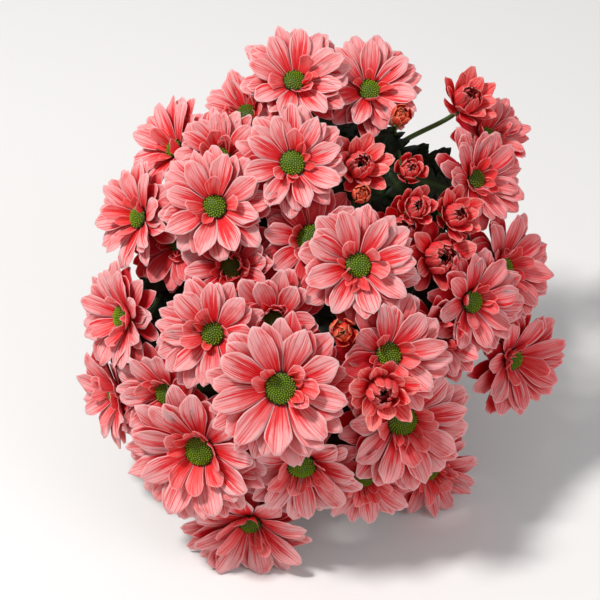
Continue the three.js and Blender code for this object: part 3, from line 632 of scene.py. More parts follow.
class Room:
    """What stands where: the solids, and what has been added between them."""

    def __init__(self, blooms):
        self.pieces = []
        for bloom in blooms:
            tree = tree_of_faces([bloom.name])
            self.pieces.append((bloom.name, bloom.centre, bloom.reach, tree))
        self.head = tree_of_faces([bloom.name for bloom in blooms])

    def painted_shade(self, points, bloom):
        """For each point, the share of the ways outward that the blooms stand in, which gives painted
        shade.
        """
        # Each ring of ways is also turned by its lean, so that the rings don't line up
        ways = []
        for lean, count in PAINTED_SHADE_WAYS:
            for k in range(count):
                flat = bloom.outward(2 * math.pi * k / count + lean)
                way = bloom.facing * math.cos(lean * DEGREE) + flat * math.sin(lean * DEGREE)
                ways.append(Vector(way))
        shares = []
        for point in points.reshape(-1, 3):
            start = Vector(point)
            blocked = sum(
                self.head.ray_cast(start, way, PAINTED_SHADE_REACH)[0] is not None for way in ways
            )
            shares.append(blocked / len(ways))
        return np.array(shares).reshape(points.shape[:-1])

    def clear_for(self, points, faces, owner):
        """Whether a surface stays away from the petals of other blooms."""
        own = BVHTree.FromPolygons(points.tolist(), faces)
        middle = points.mean(axis=0)
        reach = np.linalg.norm(points - middle, axis=1).max()
        for name, centre, size, tree in self.pieces:
            if name == owner or np.linalg.norm(centre - middle) > size + reach:
                continue
            if own.overlap(tree):
                return False
        return True

    def sees(self, point, eye):
        """Whether nothing stands between a point and the eye."""
        way = unit(eye - point)
        for _, centre, size, tree in self.pieces:
            ahead = np.dot(centre - point, way)
            if ahead < -size or np.linalg.norm(point + way * ahead - centre) > size:
                continue
            if tree.ray_cast(Vector(point), Vector(way))[0] is not None:
                return False
        return True

    def take(self, points, faces, owner):
        """Notes that a surface stands there."""
        middle = points.mean(axis=0)
        size = np.linalg.norm(points - middle, axis=1).max()
        self.pieces.append((owner, middle, size, BVHTree.FromPolygons(points.tolist(), faces)))


def tree_of_faces(nodes):
    """The faces of some solids, in millimetres."""
    points = []
    faces = []
    for node in nodes:
        mesh = frame["nodes"][node].data
        start = len(points)
        points.extend(vertex.co / MILLIMETRE for vertex in mesh.vertices)
        faces.extend(tuple(start + i for i in face.vertices) for face in mesh.polygons)
    return BVHTree.FromPolygons(points, faces)


def painted_shade_at(bloom, petal, room, column, share):
    """The share of blocked ways at the places of a petal, for its painted shade, from a few of them.
    """
    shares = np.array([0.1, 0.35, 0.6, 0.85, 1.0])
    middle, level, normal, radius = petal_frame(bloom, petal, shares)
    reach = level * (0.65 * petal_width(bloom, petal, radius, 1.0))[:, None]
    rows = [middle + normal * PAINTED_SHADE_LIFT + reach * side for side in (-1, 0, 1)]
    values = room.painted_shade(np.stack(rows), bloom)
    left, centre, right = (np.interp(share, shares, row) for row in values)
    value = centre * (1 - np.abs(column))
    return value + left * np.clip(-column, 0, 1) + right * np.clip(column, 0, 1)


def petal_sheet(bloom, petal):
    """The outer part of a petal as a coarse sheet."""
    column, share = np.meshgrid(np.linspace(-1, 1, 5), np.linspace(0.25, 1.02, 6))
    middle, level, normal, radius = petal_frame(bloom, petal, share)
    width = petal_width(bloom, petal, radius, 1.05 - 0.4 * smooth_step(0.8, 1.1, share))
    lift = PETAL_TROUGH * width * column**2
    points = middle + level * (column * width)[..., None] + normal * lift[..., None]
    return points.reshape(-1, 3), grid_faces(6, 5, False)


def more_petals(bloom, room, rng):
    """Petals of an open bloom beyond those of the solids, where there is room for them."""
    if bloom.closed > HALF_CLOSED:
        return []
    found = []
    step = 2 * math.pi / bloom.count
    reach = bloom.reach - PETAL_START * bloom.disc
    closing = MORE_CLOSING * bloom.closed
    for kind in MORE_LAYERS:
        whole = kind["grown"] == 1
        loose = 1 if whole else MORE_LOOSE
        for index in range(bloom.count):
            if rng.random() > kind["grown"]:
                continue
            petal = {
                "root": kind["root"],
                "draw": rng.random(),
                "warm": 0 if whole else MORE_WARM,
                "angle": (index + kind["turn"] + rng.uniform(-0.1, 0.1)) * step,
                "rise": kind["rise"] + closing + loose * rng.uniform(-4, 4),
                "curl": kind["curl"] + closing + loose * rng.uniform(-8, 8),
                "length": reach * kind["length"] * (1 + loose * rng.uniform(-0.09, 0.07)),
                "fold": rng.uniform(0.1, 0.4),
                "width": bloom.reach * PETAL_HALF_WIDTH * rng.uniform(0.85, 1.05),
                "twist": loose * rng.uniform(-10, 10),
                "sweep": loose * rng.uniform(-4, 4),
            }
            petal["length"] *= rim_length(bloom, petal["angle"])
            fitted = fitted_petal(bloom, petal, room)
            if fitted is not None:
                found.append(fitted)
    return found


def rim_length(bloom, angle):
    """How much longer a petal is that points away from the middle of the head."""
    outward = bloom.outward(angle)
    away = np.dot(outward, RIGHT) * bloom.right + np.dot(outward, UP) * bloom.up
    return 1 + MORE_RIM_LENGTH * float(np.clip(1.6 * away / RIM_DISTANCE, 0, 1))


def fitted_petal(bloom, petal, room):
    """The petal, shortened or bent until it is clear of the other blooms, or nothing."""
    for shorter in MORE_SHORTER:
        for lift in MORE_LIFTS:
            choice = dict(petal)
            choice["length"] = petal["length"] * shorter
            choice["curl"] = petal["curl"] + lift
            points, faces = petal_sheet(bloom, choice)
            low = points[:, 2].min() <= FLOOR_CLEARANCE
            if not low and room.clear_for(points, faces, bloom.name):
                room.take(points, faces, bloom.name)
                return choice
    return None


def closing_curl(bloom, petal, mouth):
    """How far a petal must curl for its tip to come within a distance of the bloom's axis."""
    start = petal["rise"] * DEGREE
    for curl in range(2, 150, 2):
        bend = curl * DEGREE
        inward = petal["length"] * (math.sin(start + bend) - math.sin(start)) / bend
        if PETAL_START * bloom.disc + inward <= mouth:
            return curl
    return 150


def young_petals(bloom, rng):
    """Narrow petals inside a closing bloom, which bend over its middle."""
    petals = []
    upper = LAYERS[0]["rise"] + LAYERS[0]["rise_closed"] * bloom.closed
    layers = YOUNG_LAYERS[:BUD_LAYERS] if bloom.closed > NEARLY_SHUT else YOUNG_LAYERS
    for kind in layers:
        step = 2 * math.pi / kind["count"]
        for index in range(kind["count"]):
            petal = {
                "root": 0.3,
                "round": 0.8 * kind["count"],
                "draw": rng.random(),
                "warm": YOUNG_WARM,
                "angle": (index + kind["turn"] + rng.uniform(-0.14, 0.14)) * step,
                "rise": upper + kind["rise"] + rng.uniform(-4, 4),
                "length": kind["length"] * (bloom.reach - PETAL_START * bloom.disc),
                "width": bloom.reach * kind["width"] * rng.uniform(0.85, 1.1),
                "twist": rng.uniform(-14, 14),
                "sweep": rng.uniform(-8, 8),
                "fold": rng.uniform(0.4, 0.75),
            }
            petal["length"] *= rng.uniform(0.9, 1.06)
            mouth = bloom.disc * max(0.06, kind["mouth"] * (1 - bloom.closed))
            petal["curl"] = closing_curl(bloom, petal, mouth) + rng.uniform(-12, 8)
            petals.append(petal)
    return petals


def folded_petals(bloom, rng):
    """Short folded petals round the disc of an open bloom, gathered at one side of it."""
    petals = []
    gathered = rng.uniform(0, 2 * math.pi)
    spread = FOLDED_SPREAD + FOLDED_SPREAD_MORE * bloom.closed
    for _ in range(rng.randint(*FOLDED_COUNT) + int(FOLDED_MORE * bloom.closed)):
        petal = {"root": 0.6, "warm": 1, "draw": rng.random()}
        petal["angle"] = gathered + rng.uniform(-spread, spread)
        for key, (least, most) in FOLDED.items():
            petal[key] = rng.uniform(least, most)
        petal["curl"] += FOLDED_CLOSING * bloom.closed
        petal["length"] *= bloom.reach * (1 + FOLDED_LONGER * bloom.closed)
        petal["width"] *= bloom.reach
        petals.append(petal)
    return petals


def smooth_step(low, high, value):
    share = np.clip((value - low) / (high - low), 0, 1)
    return share * share * (3 - 2 * share)


def both_faces(middle, normal, lift, thick, least_height):
    """Points of the upper and then of the lower face of a sheet, none of them too low."""
    sides = []
    for face in (1, -1):
        points = middle + normal * (lift + face * thick / 2)[..., None]
        points[..., 2] = np.maximum(points[..., 2], least_height)
        sides.append(points.reshape(-1, 3))
    return np.concatenate(sides)


def petal_shares(petal, column, row, rng):
    """Shares of the length over a petal, up to a pointed, round or notched tip."""
    roundness = rng.uniform(*TIP_ROUNDNESS)
    notch = rng.choice(NOTCHES)
    notch_at = rng.uniform(*NOTCH_PLACE)
    depth = TIP_DEPTH * rng.uniform(*TIP_DEEPER)
    end = TIP_SHARE - depth * np.abs(column) ** roundness
    end = end - notch * np.exp(-(((column - notch_at) / NOTCH_WIDTH) ** 2))
    end = end + 0.012 * np.sin(column * 9 + petal["draw"] * 20)
    return ROOT_SHARE + (end - ROOT_SHARE) * row


def petal_lift(petal, column, share, width, rng):
    """How far a petal stands off a flat sheet: its fold, grooves, waves and outer corners."""
    ripple = rng.uniform(0, 6.28)
    fold = petal.get("fold", rng.uniform(*BLADE_FOLD))
    groove = 0.05 * np.cos(column * 8.2 + ripple) * smooth_step(0.1, 0.5, share)
    wave = 0.1 * column * np.sin(share * 5 + ripple) * smooth_step(0.3, 0.9, share)
    corner = rng.uniform(*CORNER_RISE) * smooth_step(0.7, 1.0, share) * column**2
    return width * (fold * np.abs(column) ** 1.6 + groove + wave + corner)


def petal_tints(bloom, petal, room, column, share, right_painted_shade):
    """The tints of both faces of a petal: painted shade where the blooms block its surroundings and on
    the blooms at the right, its warmth, and its underside.
    """
    blocked = painted_shade_at(bloom, petal, room, column, share)
    # Painted shade: deep red where the blooms block a place's surroundings, plus the painted shade of
    # the blooms at the right
    painted_shade = PAINTED_SHADE_RED * smooth_step(PAINTED_SHADE_LEAST, PAINTED_SHADE_MOST, blocked).ravel()
    tints = np.zeros((2 * painted_shade.size, 3))
    tints[:, 0] = np.clip(np.concatenate([painted_shade, PAINTED_SHADE_UNDER * painted_shade]) + right_painted_shade, 0, 1)
    tints[:, 1] = petal.get("warm", 0)
    tints[painted_shade.size :, 2] = 1
    return tints


def add_petal(shape, bloom, petal, room, rng, right_painted_shade):
    """A thin closed blade with a narrow root, a grooved face and a rounded or notched tip."""
    columns, rows = SHORT_PETAL_GRID if petal["length"] < SHORT_PETAL else PETAL_GRID
    across = np.linspace(-1, 1, columns)
    across = np.sign(across) * (1 - (1 - np.abs(across)) ** 1.15)
    down = np.linspace(0, 1, rows) ** 0.8
    column, row = np.meshgrid(across, down)
    share = petal_shares(petal, column, row, rng)
    middle, level, normal, radius = petal_frame(bloom, petal, share)
    profile = ROOT_WIDTH + (1 - ROOT_WIDTH) * smooth_step(ROOT_SHARE, 0.6, share)
    profile = PETAL_FULLNESS * profile * (1 - TIP_NARROWER * smooth_step(0.7, 1.0, share))
    width = petal_width(bloom, petal, radius, profile)
    lift = petal_lift(petal, column, share, width, rng)
    thick = PETAL_THICKNESS * (0.35 + 0.65 * (1 - np.abs(column) ** 4) * (1 - row**6))
    base = middle + level * (column * width)[..., None]
    points = both_faces(base, normal, lift, thick, 0.02)
    draw = np.full(column.shape, petal["draw"])
    spot = np.stack([column, row, draw], axis=-1).reshape(-1, 3)
    tints = petal_tints(bloom, petal, room, column, share, right_painted_shade)
    shape.add(points, sheet_faces(rows, columns), np.concatenate([spot, spot]), tints)


def add_rings(shape, rings, spots, tint):
    """A closed surface through rings of as many points, with a point at either end."""
    columns = len(rings[0])
    start = rings[0].mean(axis=0)
    end = rings[-1].mean(axis=0)
    points = np.concatenate([start[None], *rings, end[None]])
    faces = [tuple(i + 1 for i in face) for face in grid_faces(len(rings), columns, True)]
    last = 1 + (len(rings) - 1) * columns
    for k in range(columns):
        after = (k + 1) % columns
        faces.append((0, 1 + after, 1 + k))
        faces.append((len(points) - 1, last + k, last + after))
    spots = np.asarray(spots, dtype=float)
    spots = np.concatenate([spots[:1], np.repeat(spots, columns, axis=0), spots[-1:]])
    shape.add(points, faces, spots, np.tile(np.asarray(tint, dtype=float), (len(points), 1)))


def add_tube(shape, line, radii, sides, ribs):
    """A ribbed tube along a line; it is pressed flat where it would pass the surface."""
    line = np.asarray(line)
    side = RIGHT
    rings = []
    for i, point in enumerate(line):
        along = unit(line[min(i + 1, len(line) - 1)] - line[max(i - 1, 0)])
        side = unit(side - along * np.dot(side, along))
        other = np.cross(along, side)
        ring = []
        for k in range(sides):
            angle = 2 * math.pi * k / sides
            radius = radii[i] * (1 + ribs * math.cos(angle * sides / 2))
            ring.append(point + side * (radius * math.cos(angle)) + other * (radius * math.sin(angle)))
        ring = np.array(ring)
        ring[:, 2] = np.maximum(ring[:, 2], 0)
        rings.append(ring)
    spots = [(0, i / (len(line) - 1), 0) for i in range(len(line))]
    add_rings(shape, rings, spots, (STALK, 0, 0))


def bezier(corners, steps):
    """Points of a cubic curve."""
    share = np.linspace(0, 1, steps + 1)[:, None]
    rest = 1 - share
    return (
        rest**3 * corners[0]
        + 3 * rest**2 * share * corners[1]
        + 3 * rest * share**2 * corners[2]
        + share**3 * corners[3]
    )


def bowed_corners(start, start_way, end, end_way, shift):
    """The corners of a curve that leaves and arrives in given directions, bowed by a shift."""
    gap = np.linalg.norm(end - start)
    return (
        start,
        start + start_way * (0.34 * gap) + shift * 0.7,
        end - end_way * (0.38 * gap) + shift,
        end,
    )


def stem_points():
    """Closely spaced points of the main stem's midline, evenly along it."""
    through = [np.array([x, y, STEM_LIE + height]) for x, y, height in STEM_LYING]
    through += [head_point(*place) for place in STEM_RISING]
    through = [2 * through[0] - through[1], *through, 2 * through[-1] - through[-2]]
    fine = []
    for p0, p1, p2, p3 in zip(through, through[1:], through[2:], through[3:]):
        legs = ((p0, p1), (p1, p2), (p2, p3))
        d0, d1, d2 = (math.sqrt(np.linalg.norm(b - a)) for a, b in legs)
        t1 = ((p1 - p0) / d0 - (p2 - p0) / (d0 + d1) + (p2 - p1) / d1) * d1
        t2 = ((p2 - p1) / d1 - (p3 - p1) / (d1 + d2) + (p3 - p2) / d2) * d1
        for share in np.linspace(0, 1, 60, endpoint=False):
            fine.append(
                p1
                + t1 * share
                + (-3 * p1 + 3 * p2 - 2 * t1 - t2) * share**2
                + (2 * p1 - 2 * p2 + t1 + t2) * share**3
            )
    fine.append(through[-2])
    fine = np.array(fine)
    run = np.concatenate([[0], np.cumsum(np.linalg.norm(np.diff(fine, axis=0), axis=1))])
    even = np.linspace(0, run[-1], 101)
    return np.stack([np.interp(even, run, fine[:, axis]) for axis in range(3)], axis=1)


def at_share(line, share):
    """Place and direction at a share of an evenly spaced line."""
    spot = share * (len(line) - 1)
    before = int(spot)
    place = line[before] + (line[before + 1] - line[before]) * (spot - before)
    return place, unit(line[before + 2] - line[before - 1])


def branch_ends():
    """For each branch its end, its start on the main stem, and its direction."""
    hubs = {}
    for name, (right, up, forward, behind) in BRANCHES.items():
        hub = head_point(right, up, forward)
        start = head_point(-2, -3, behind)
        hubs[name] = (hub, start, unit(hub - start))
    return hubs


def pedicel_line(bloom, hubs, tree):
    """The pedicel's way as it stands in the solid: the shifted curve that lies on its corners."""
    hub, _, outward = hubs[bloom.branch]
    end = bloom.place(0, 0, -bloom.half - NECK_GAP - CUP_DEPTH * bloom.disc)
    start_way = unit(unit(end - hub) + outward * 0.3)
    start = hub + start_way * PEDICEL_START
    side = unit(RIGHT - bloom.facing * np.dot(RIGHT, bloom.facing))
    other = np.cross(bloom.facing, side)
    shifts = [np.zeros(3)]
    for distance in (8, 14, 20):
        for turn in range(8):
            angle = turn * math.pi / 4
            shifts.append(side * (distance * math.cos(angle)) + other * (distance * math.sin(angle)))
    best = None
    for shift in shifts:
        corners = bowed_corners(start, start_way, end, bloom.facing, shift)
        miss = 0
        for point in bezier(corners, 3)[1:3]:
            miss += abs(tree.find(point)[2] - PEDICEL_RADIUS * 1.05)
        if best is None or miss < best[0]:
            best = (miss, corners)
    return bezier(best[1], 14)


def add_cup_and_disc(shape, bloom):
    """The receptacle: a bowl below the petals, a neck through them and the disc's dome."""
    rings = []
    spots = []
    low = -bloom.half - NECK_GAP
    profile = [
        (1.35, low - CUP_DEPTH * bloom.disc),
        (0.42 * bloom.disc, low - 0.62 * bloom.disc),
        (0.7 * bloom.disc, low - 0.34 * bloom.disc),
        (CUP_RADIUS * bloom.disc, low - 0.1),
        (0.8 * bloom.disc, 0.2 * bloom.half),
        (0.86 * bloom.rim, bloom.half + 0.3),
        (0.97 * bloom.rim, bloom.rim_height - 0.1 * bloom.rim),
        (0.98 * bloom.rim, bloom.rim_height + 0.04 * bloom.rim),
    ]
    for share in (0.85, 0.65, 0.42, 0.2):
        profile.append((share * bloom.rim, disc_height(bloom, share)))
    for radius, height in profile:
        angles = [2 * math.pi * k / CUP_SIDES for k in range(CUP_SIDES)]
        rings.append(np.array([bloom.place(radius, angle, height) for angle in angles]))
        spots.append((radius / bloom.disc, height / bloom.disc, 0))
    add_rings(shape, rings, spots, (STALK, 0, 0))


def disc_height(bloom, share):
    """The height of the disc's dome at a share of its radius."""
    rise = DISC_RISE * bloom.rim * (1 - share**DISC_ROUND)
    return bloom.rim_height + rise - 0.06 * bloom.rim


def add_florets(shape, bloom, rng):
    """Small close-set florets over the disc, in the spirals that such discs have."""
    count = int((bloom.rim / FLORET_SPACING) ** 2 * 1.9)
    for i in range(count):
        share = math.sqrt((i + 0.5) / count)
        outward = bloom.outward(i * FLORET_TURN)
        slope = 0.8 * DISC_ROUND * DISC_RISE * share ** (DISC_ROUND - 1)
        way = unit(bloom.facing + outward * slope)
        height = disc_height(bloom, share) - 0.25
        foot = bloom.centre + outward * (share * bloom.rim * 0.97) + bloom.facing * height
        side = unit(np.cross(way, bloom.across))
        other = np.cross(way, side)
        size = FLORET_SPACING * (0.48 + 0.16 * share) * rng.uniform(0.85, 1.12)
        tall = (0.95 + 0.5 * share) * rng.uniform(0.8, 1.2)
        rings = []
        spots = []
        for wide, level in FLORET_RINGS:
            ring = []
            for k in range(5):
                turn = k * 2 * math.pi / 5 + i
                flat = side * math.cos(turn) + other * math.sin(turn)
                ring.append(foot + flat * (size * wide) + way * (tall * level))
            rings.append(np.array(ring))
            spots.append((share, level, rng.random()))
        # The tint's second number darkens a closing bloom's disc as painted shade
        add_rings(shape, rings, spots, (FLORET, 4 * bloom.closed, 0))


def add_bracts(shape, bloom, rng):
    """Overlapping green scales on the cup."""
    low = -bloom.half - NECK_GAP
    for tier, (bottom, top, count) in enumerate(BRACT_TIERS):
        for k in range(count):
            angle = 2 * math.pi * (k + 0.5 * tier + rng.uniform(-0.1, 0.1)) / count
            points = []
            spots = []
            for along, half in BRACT_ROWS:
                depth = bottom + (top - bottom) * along
                height = low - depth * bloom.disc
                swell = math.sqrt(max(0.02, 1 - (max(depth, 0) / 0.8) ** 2))
                radius = CUP_RADIUS * bloom.disc * swell + 0.25 + 0.2 * along
                wide = half * math.pi / count
                for side, lift in ((-1, 0.0), (0, 0.35), (1, 0.0)):
                    points.append(bloom.place(radius + lift, angle + side * wide, height))
                    spots.append((side, along, rng.random()))
            outer = np.array(points)
            inner = outer - (outer - bloom.place(0, 0, low)) * 0.09
            tints = np.tile(np.array([BRACT, 0, 0]), (2 * len(outer), 1))
            faces = sheet_faces(len(BRACT_ROWS), 3)
            shape.add(np.concatenate([outer, inner]), faces, np.array(spots * 2), tints)


def leaf_edge_at(share):
    """The half width of a leaf's cut edge at a share of its length, with rounded lobes."""
    width = np.zeros_like(share)
    for (start, low), (end, high) in zip(LEAF_EDGE, LEAF_EDGE[1:]):
        along = np.clip((share - start) / (end - start), 0, 1)
        bulge = 1 - (1 - along) ** 1.9 if high > low else along**1.9
        inside = (share >= start) & (share <= end)
        width = np.where(inside, low + (high - low) * bulge, width)
    return width


def add_leaf(shape, base, way, upward, length, arch, rng, grid=LEAF_GRID):
    """A blade with cut lobes, small teeth, raised veins and hollows between them."""
    rows, columns = grid
    across = unit(np.cross(way, upward))
    top = unit(np.cross(across, way))
    shares = {place for place, _ in LEAF_EDGE} | set(np.linspace(-0.04, 1, rows).round(4))
    shares = np.array(sorted(shares))
    steps = np.linspace(-1, 1, columns)
    side, share = np.meshgrid(steps, shares)
    tooth = 1 + 0.1 * np.abs(np.sin(share * 41)) * smooth_step(0.5, 1, np.abs(side))
    half = np.maximum(leaf_edge_at(share), 0.012) * tooth / 1.06
    width = side * half * length * LEAF_HALF_WIDTH
    turn = arch * DEGREE * share
    vein = np.exp(-((np.abs(side) * half / 0.03) ** 2))
    for start, end, reach in LEAF_VEINS:
        at = start + (end - start) * np.clip(np.abs(side) * half / reach, 0, 1)
        vein = np.maximum(vein, 0.8 * np.exp(-(((share - at) / 0.014) ** 2)))
    lift = LEAF_FOLD * np.abs(width) - 0.45 * (1 - vein) * smooth_step(0.05, 0.2, share)
    lift = lift + 0.012 * length * np.sin(share * 17 + rng.uniform(0, 6)) * side**2
    rib_normal = np.cos(turn)[..., None] * top - np.sin(turn)[..., None] * way
    middle = (
        base
        + (length * np.sin(turn) / (arch * DEGREE))[..., None] * way
        + (length * (1 - np.cos(turn)) / (arch * DEGREE))[..., None] * top
        + width[..., None] * across
    )
    thick = LEAF_THICKNESS * (0.4 + 0.6 * (1 - side**4)) + 0.5 * vein * (np.abs(side) < 0.1)
    points = both_faces(middle, rib_normal, lift, thick, 0.05)
    faces = sheet_faces(*side.shape, flipped=True)
    spot = np.stack([side, share, vein], axis=-1).reshape(-1, 3)
    tints = np.tile(np.array([BLADE, 0, 0]), (2 * side.size, 1))
    tints[side.size :, 2] = 1
    shape.add(points, faces, np.concatenate([spot, spot]), tints)


class Nodes:
    """Short ways to make and join the nodes of one material."""

    def __init__(self, name):
        self.material = bpy.data.materials.new(name)
        self.material.use_nodes = True
        self.tree = self.material.node_tree
        self.shader = self.tree.nodes["Principled BSDF"]

    def new(self, kind, **settings):
        node = self.tree.nodes.new(kind)
        for key, value in settings.items():
            setattr(node, key, value)
        return node

    def link(self, source, target):
        self.tree.links.new(source, target)

    def put(self, socket, value):
        if isinstance(value, bpy.types.NodeSocket):
            self.link(value, socket)
        else:
            socket.default_value = value

    def math(self, operation, first, second=0.0):
        node = self.new("ShaderNodeMath", operation=operation)
        self.put(node.inputs[0], first)
        self.put(node.inputs[1], second)
        return node.outputs[0]

    def times(self, first, second):
        return self.math("MULTIPLY", first, second)

    def plus(self, first, second):
        return self.math("ADD", first, second)

    def larger(self, first, second):
        return self.math("MAXIMUM", first, second)

    def step(self, value, low, high):
        node = self.new("ShaderNodeMapRange", interpolation_type="SMOOTHSTEP")
        self.put(node.inputs["Value"], value)
        node.inputs["From Min"].default_value = low
        node.inputs["From Max"].default_value = high
        return node.outputs["Result"]

    def vector(self, x, y, z):
        node = self.new("ShaderNodeCombineXYZ")
        for socket, value in zip(node.inputs, (x, y, z)):
            self.put(socket, value)
        return node.outputs[0]

    def parts(self, attribute):
        source = self.new("ShaderNodeAttribute", attribute_name=attribute)
        split = self.new("ShaderNodeSeparateXYZ")
        self.link(source.outputs["Vector"], split.inputs[0])
        return split.outputs

    def noise(self, vector, scale, detail=3.0):
        node = self.new("ShaderNodeTexNoise")
        self.link(vector, node.inputs["Vector"])
        node.inputs["Scale"].default_value = scale
        node.inputs["Detail"].default_value = detail
        return node.outputs["Fac"]

    def mix(self, factor, first, second):
        node = self.new("ShaderNodeMix", data_type="RGBA")
        self.put(node.inputs[0], factor)
        self.put(node.inputs[6], first)
        self.put(node.inputs[7], second)
        return node.outputs[2]

    def lay(self, shade, mask, share, over):
        """The shade with another over it, as far as a share of the mask."""
        return self.mix(self.times(mask, share), shade, over)

    def between(self, factor, tones):
        return self.mix(factor, colour(*tones[0]), colour(*tones[1]))

    def bump(self, height, strength, distance):
        node = self.new("ShaderNodeBump")
        node.inputs["Strength"].default_value = strength
        node.inputs["Distance"].default_value = distance
        self.link(height, node.inputs["Height"])
        self.link(node.outputs[0], self.shader.inputs["Normal"])


def colour(red, green, blue):
    """A colour given as seen on a screen, 0 to 255, as the shader takes it."""
    values = []
    for part in (red, green, blue):
        share = part / 255
        values.append(share / 12.92 if share <= 0.04045 else ((share + 0.055) / 1.055) ** 2.4)
    return (*values, 1.0)


def petal_material(name, palette):
    """Petals: red at the root, then coral, with pale streaks that widen towards the tip, painted
    shade in deep red where the blooms block a petal's surroundings and on the blooms at the right,
    red near the disc, and a pale rim that fades in that painted shade and on warm petals."""
    nodes = Nodes(name)
    tones = {key: colour(*palette[key]) for key in ("deep", "flush", "middle", "pale", "tip", "back")}
    red_reach = palette["red_reach"]
    across, along, draw = nodes.parts("spot")
    painted_shade, warm, under = nodes.parts("tint")
    seed = nodes.times(draw, 57.0)

    def streaks(wide, tall, detail):
        x = nodes.plus(nodes.times(across, wide), seed)
        return nodes.noise(nodes.vector(x, nodes.times(along, tall), seed), 1.0, detail)

    broad = streaks(3.2, 0.7, 2.0)
    narrow = streaks(9.0, 0.9, 3.0)
    thread = streaks(20.0, 1.0, 1.0)
    blotch = streaks(1.2, 2.6, 3.0)
    own = nodes.times(nodes.plus(draw, -0.5), 0.16)
    grown = nodes.times(nodes.plus(along, -0.5 * red_reach), 0.36)
    mass = nodes.plus(nodes.plus(broad, grown), own)
    lines = nodes.plus(narrow, grown)

    ground = nodes.mix(nodes.step(along, 0.0, 0.26 * red_reach), tones["deep"], tones["flush"])
    ground = nodes.mix(nodes.step(along, 0.2 * red_reach, 0.62 * red_reach), ground, tones["middle"])
    light = nodes.mix(nodes.step(along, 0.1, 0.85), tones["pale"], tones["tip"])
    shade = nodes.lay(ground, nodes.step(mass, 0.44, 0.6), 0.62, light)
    shade = nodes.lay(shade, nodes.step(lines, 0.53, 0.6), 0.75, light)
    shade = nodes.lay(shade, nodes.step(narrow, 0.47, 0.4), 0.55, ground)
    shade = nodes.lay(shade, nodes.step(thread, 0.46, 0.38), 0.35, ground)
    shade = nodes.lay(shade, nodes.step(thread, 0.54, 0.62), 0.45, light)
    shade = nodes.lay(shade, nodes.step(blotch, 0.52, 0.74), 0.5, tones["flush"])
    shade = nodes.lay(shade, warm, 0.78, colour(*WARM_TONE))
    # Painted shade in deep red, where the blooms block a petal's surroundings and on the blooms at the
    # right
    shade = nodes.mix(painted_shade, shade, colour(*PAINTED_SHADE_TONE))
    shade = nodes.lay(shade, under, 0.5, tones["back"])

    side = nodes.step(nodes.math("ABSOLUTE", across), palette["rim_from"], 0.95)
    end = nodes.step(along, 0.955, 0.985)
    # The pale rim fades where there is painted shade and on warm petals
    red = nodes.times(nodes.larger(painted_shade, warm), 0.5)
    rim = nodes.times(nodes.larger(side, end), nodes.math("SUBTRACT", 1.0, red))
    shade = nodes.lay(shade, rim, 0.85, tones["tip"])
    nodes.link(shade, nodes.shader.inputs["Base Color"])
    nodes.shader.inputs["Roughness"].default_value = 0.5
    nodes.shader.inputs["Subsurface Weight"].default_value = 0.6
    nodes.shader.inputs["Subsurface Radius"].default_value = (1.0, 0.1, 0.08)
    nodes.shader.inputs["Subsurface Scale"].default_value = 0.0012
    nodes.shader.inputs["Specular IOR Level"].default_value = 0.16
    nodes.bump(nodes.plus(narrow, nodes.times(thread, 0.4)), 0.5, 0.0006)
    return nodes.material


def green_material(name):
    """Stems, cups, discs and leaves; the tint's first number tells which."""
    nodes = Nodes(name)
    across, along, draw = nodes.parts("spot")
    kind, disc_shade, under = nodes.parts("tint")
    coordinates = nodes.new("ShaderNodeTexCoord").outputs["Object"]
    grain = nodes.noise(coordinates, 900.0, 3.0)
    cloud = nodes.noise(coordinates, 90.0, 3.0)
    stalk = nodes.between(cloud, STALK_TONES)
    floret = nodes.between(nodes.step(along, 0.1, 0.9), FLORET_TONES)
    floret = nodes.lay(floret, draw, 0.5, colour(*FLORET_OTHER_TONE))
    # Painted shade: the disc of a closing bloom, sunk among its petals, is darkened
    floret = nodes.lay(floret, disc_shade, 0.8, colour(*FLORET_SUNKEN_SHADE_TONE))
    # Painted shade: a dark ragged ring at the disc's edge, where the petals shade it
    ragged = nodes.plus(across, nodes.times(cloud, 0.24))
    floret = nodes.mix(nodes.step(ragged, 0.94, 1.06), floret, colour(*FLORET_RIM_SHADE_TONE))
    bract = nodes.between(nodes.step(along, 0.0, 1.0), BRACT_TONES)
    # The near-black blade colour is painted shade
    blade = nodes.between(cloud, BLADE_SHADE_TONES)
    blade = nodes.lay(blade, draw, 0.5, colour(*VEIN_TONE))
    blade = nodes.lay(blade, under, 0.4, colour(*BLADE_BACK_TONE))
    shade = stalk
    for number, tone in ((FLORET, floret), (BRACT, bract), (BLADE, blade)):
        shade = nodes.mix(nodes.step(kind, number - 0.6, number - 0.4), shade, tone)
    nodes.link(shade, nodes.shader.inputs["Base Color"])
    nodes.shader.inputs["Roughness"].default_value = 0.5
    nodes.shader.inputs["Specular IOR Level"].default_value = 0.22
    nodes.bump(grain, 0.35, 0.0004)
    return nodes.material


def floor_material():
    nodes = Nodes("floor")
    nodes.shader.inputs["Base Color"].default_value = (0.86, 0.86, 0.86, 1)
    nodes.shader.inputs["Roughness"].default_value = 0.8
    return nodes.material


def add_stage():
    """A wide pale floor at the height of the surface."""
    bpy.ops.mesh.primitive_plane_add(size=FLOOR_WIDTH, location=(0, 0, 0))
    floor = bpy.context.object
    floor.name = "floor"
    floor.data.materials.append(floor_material())


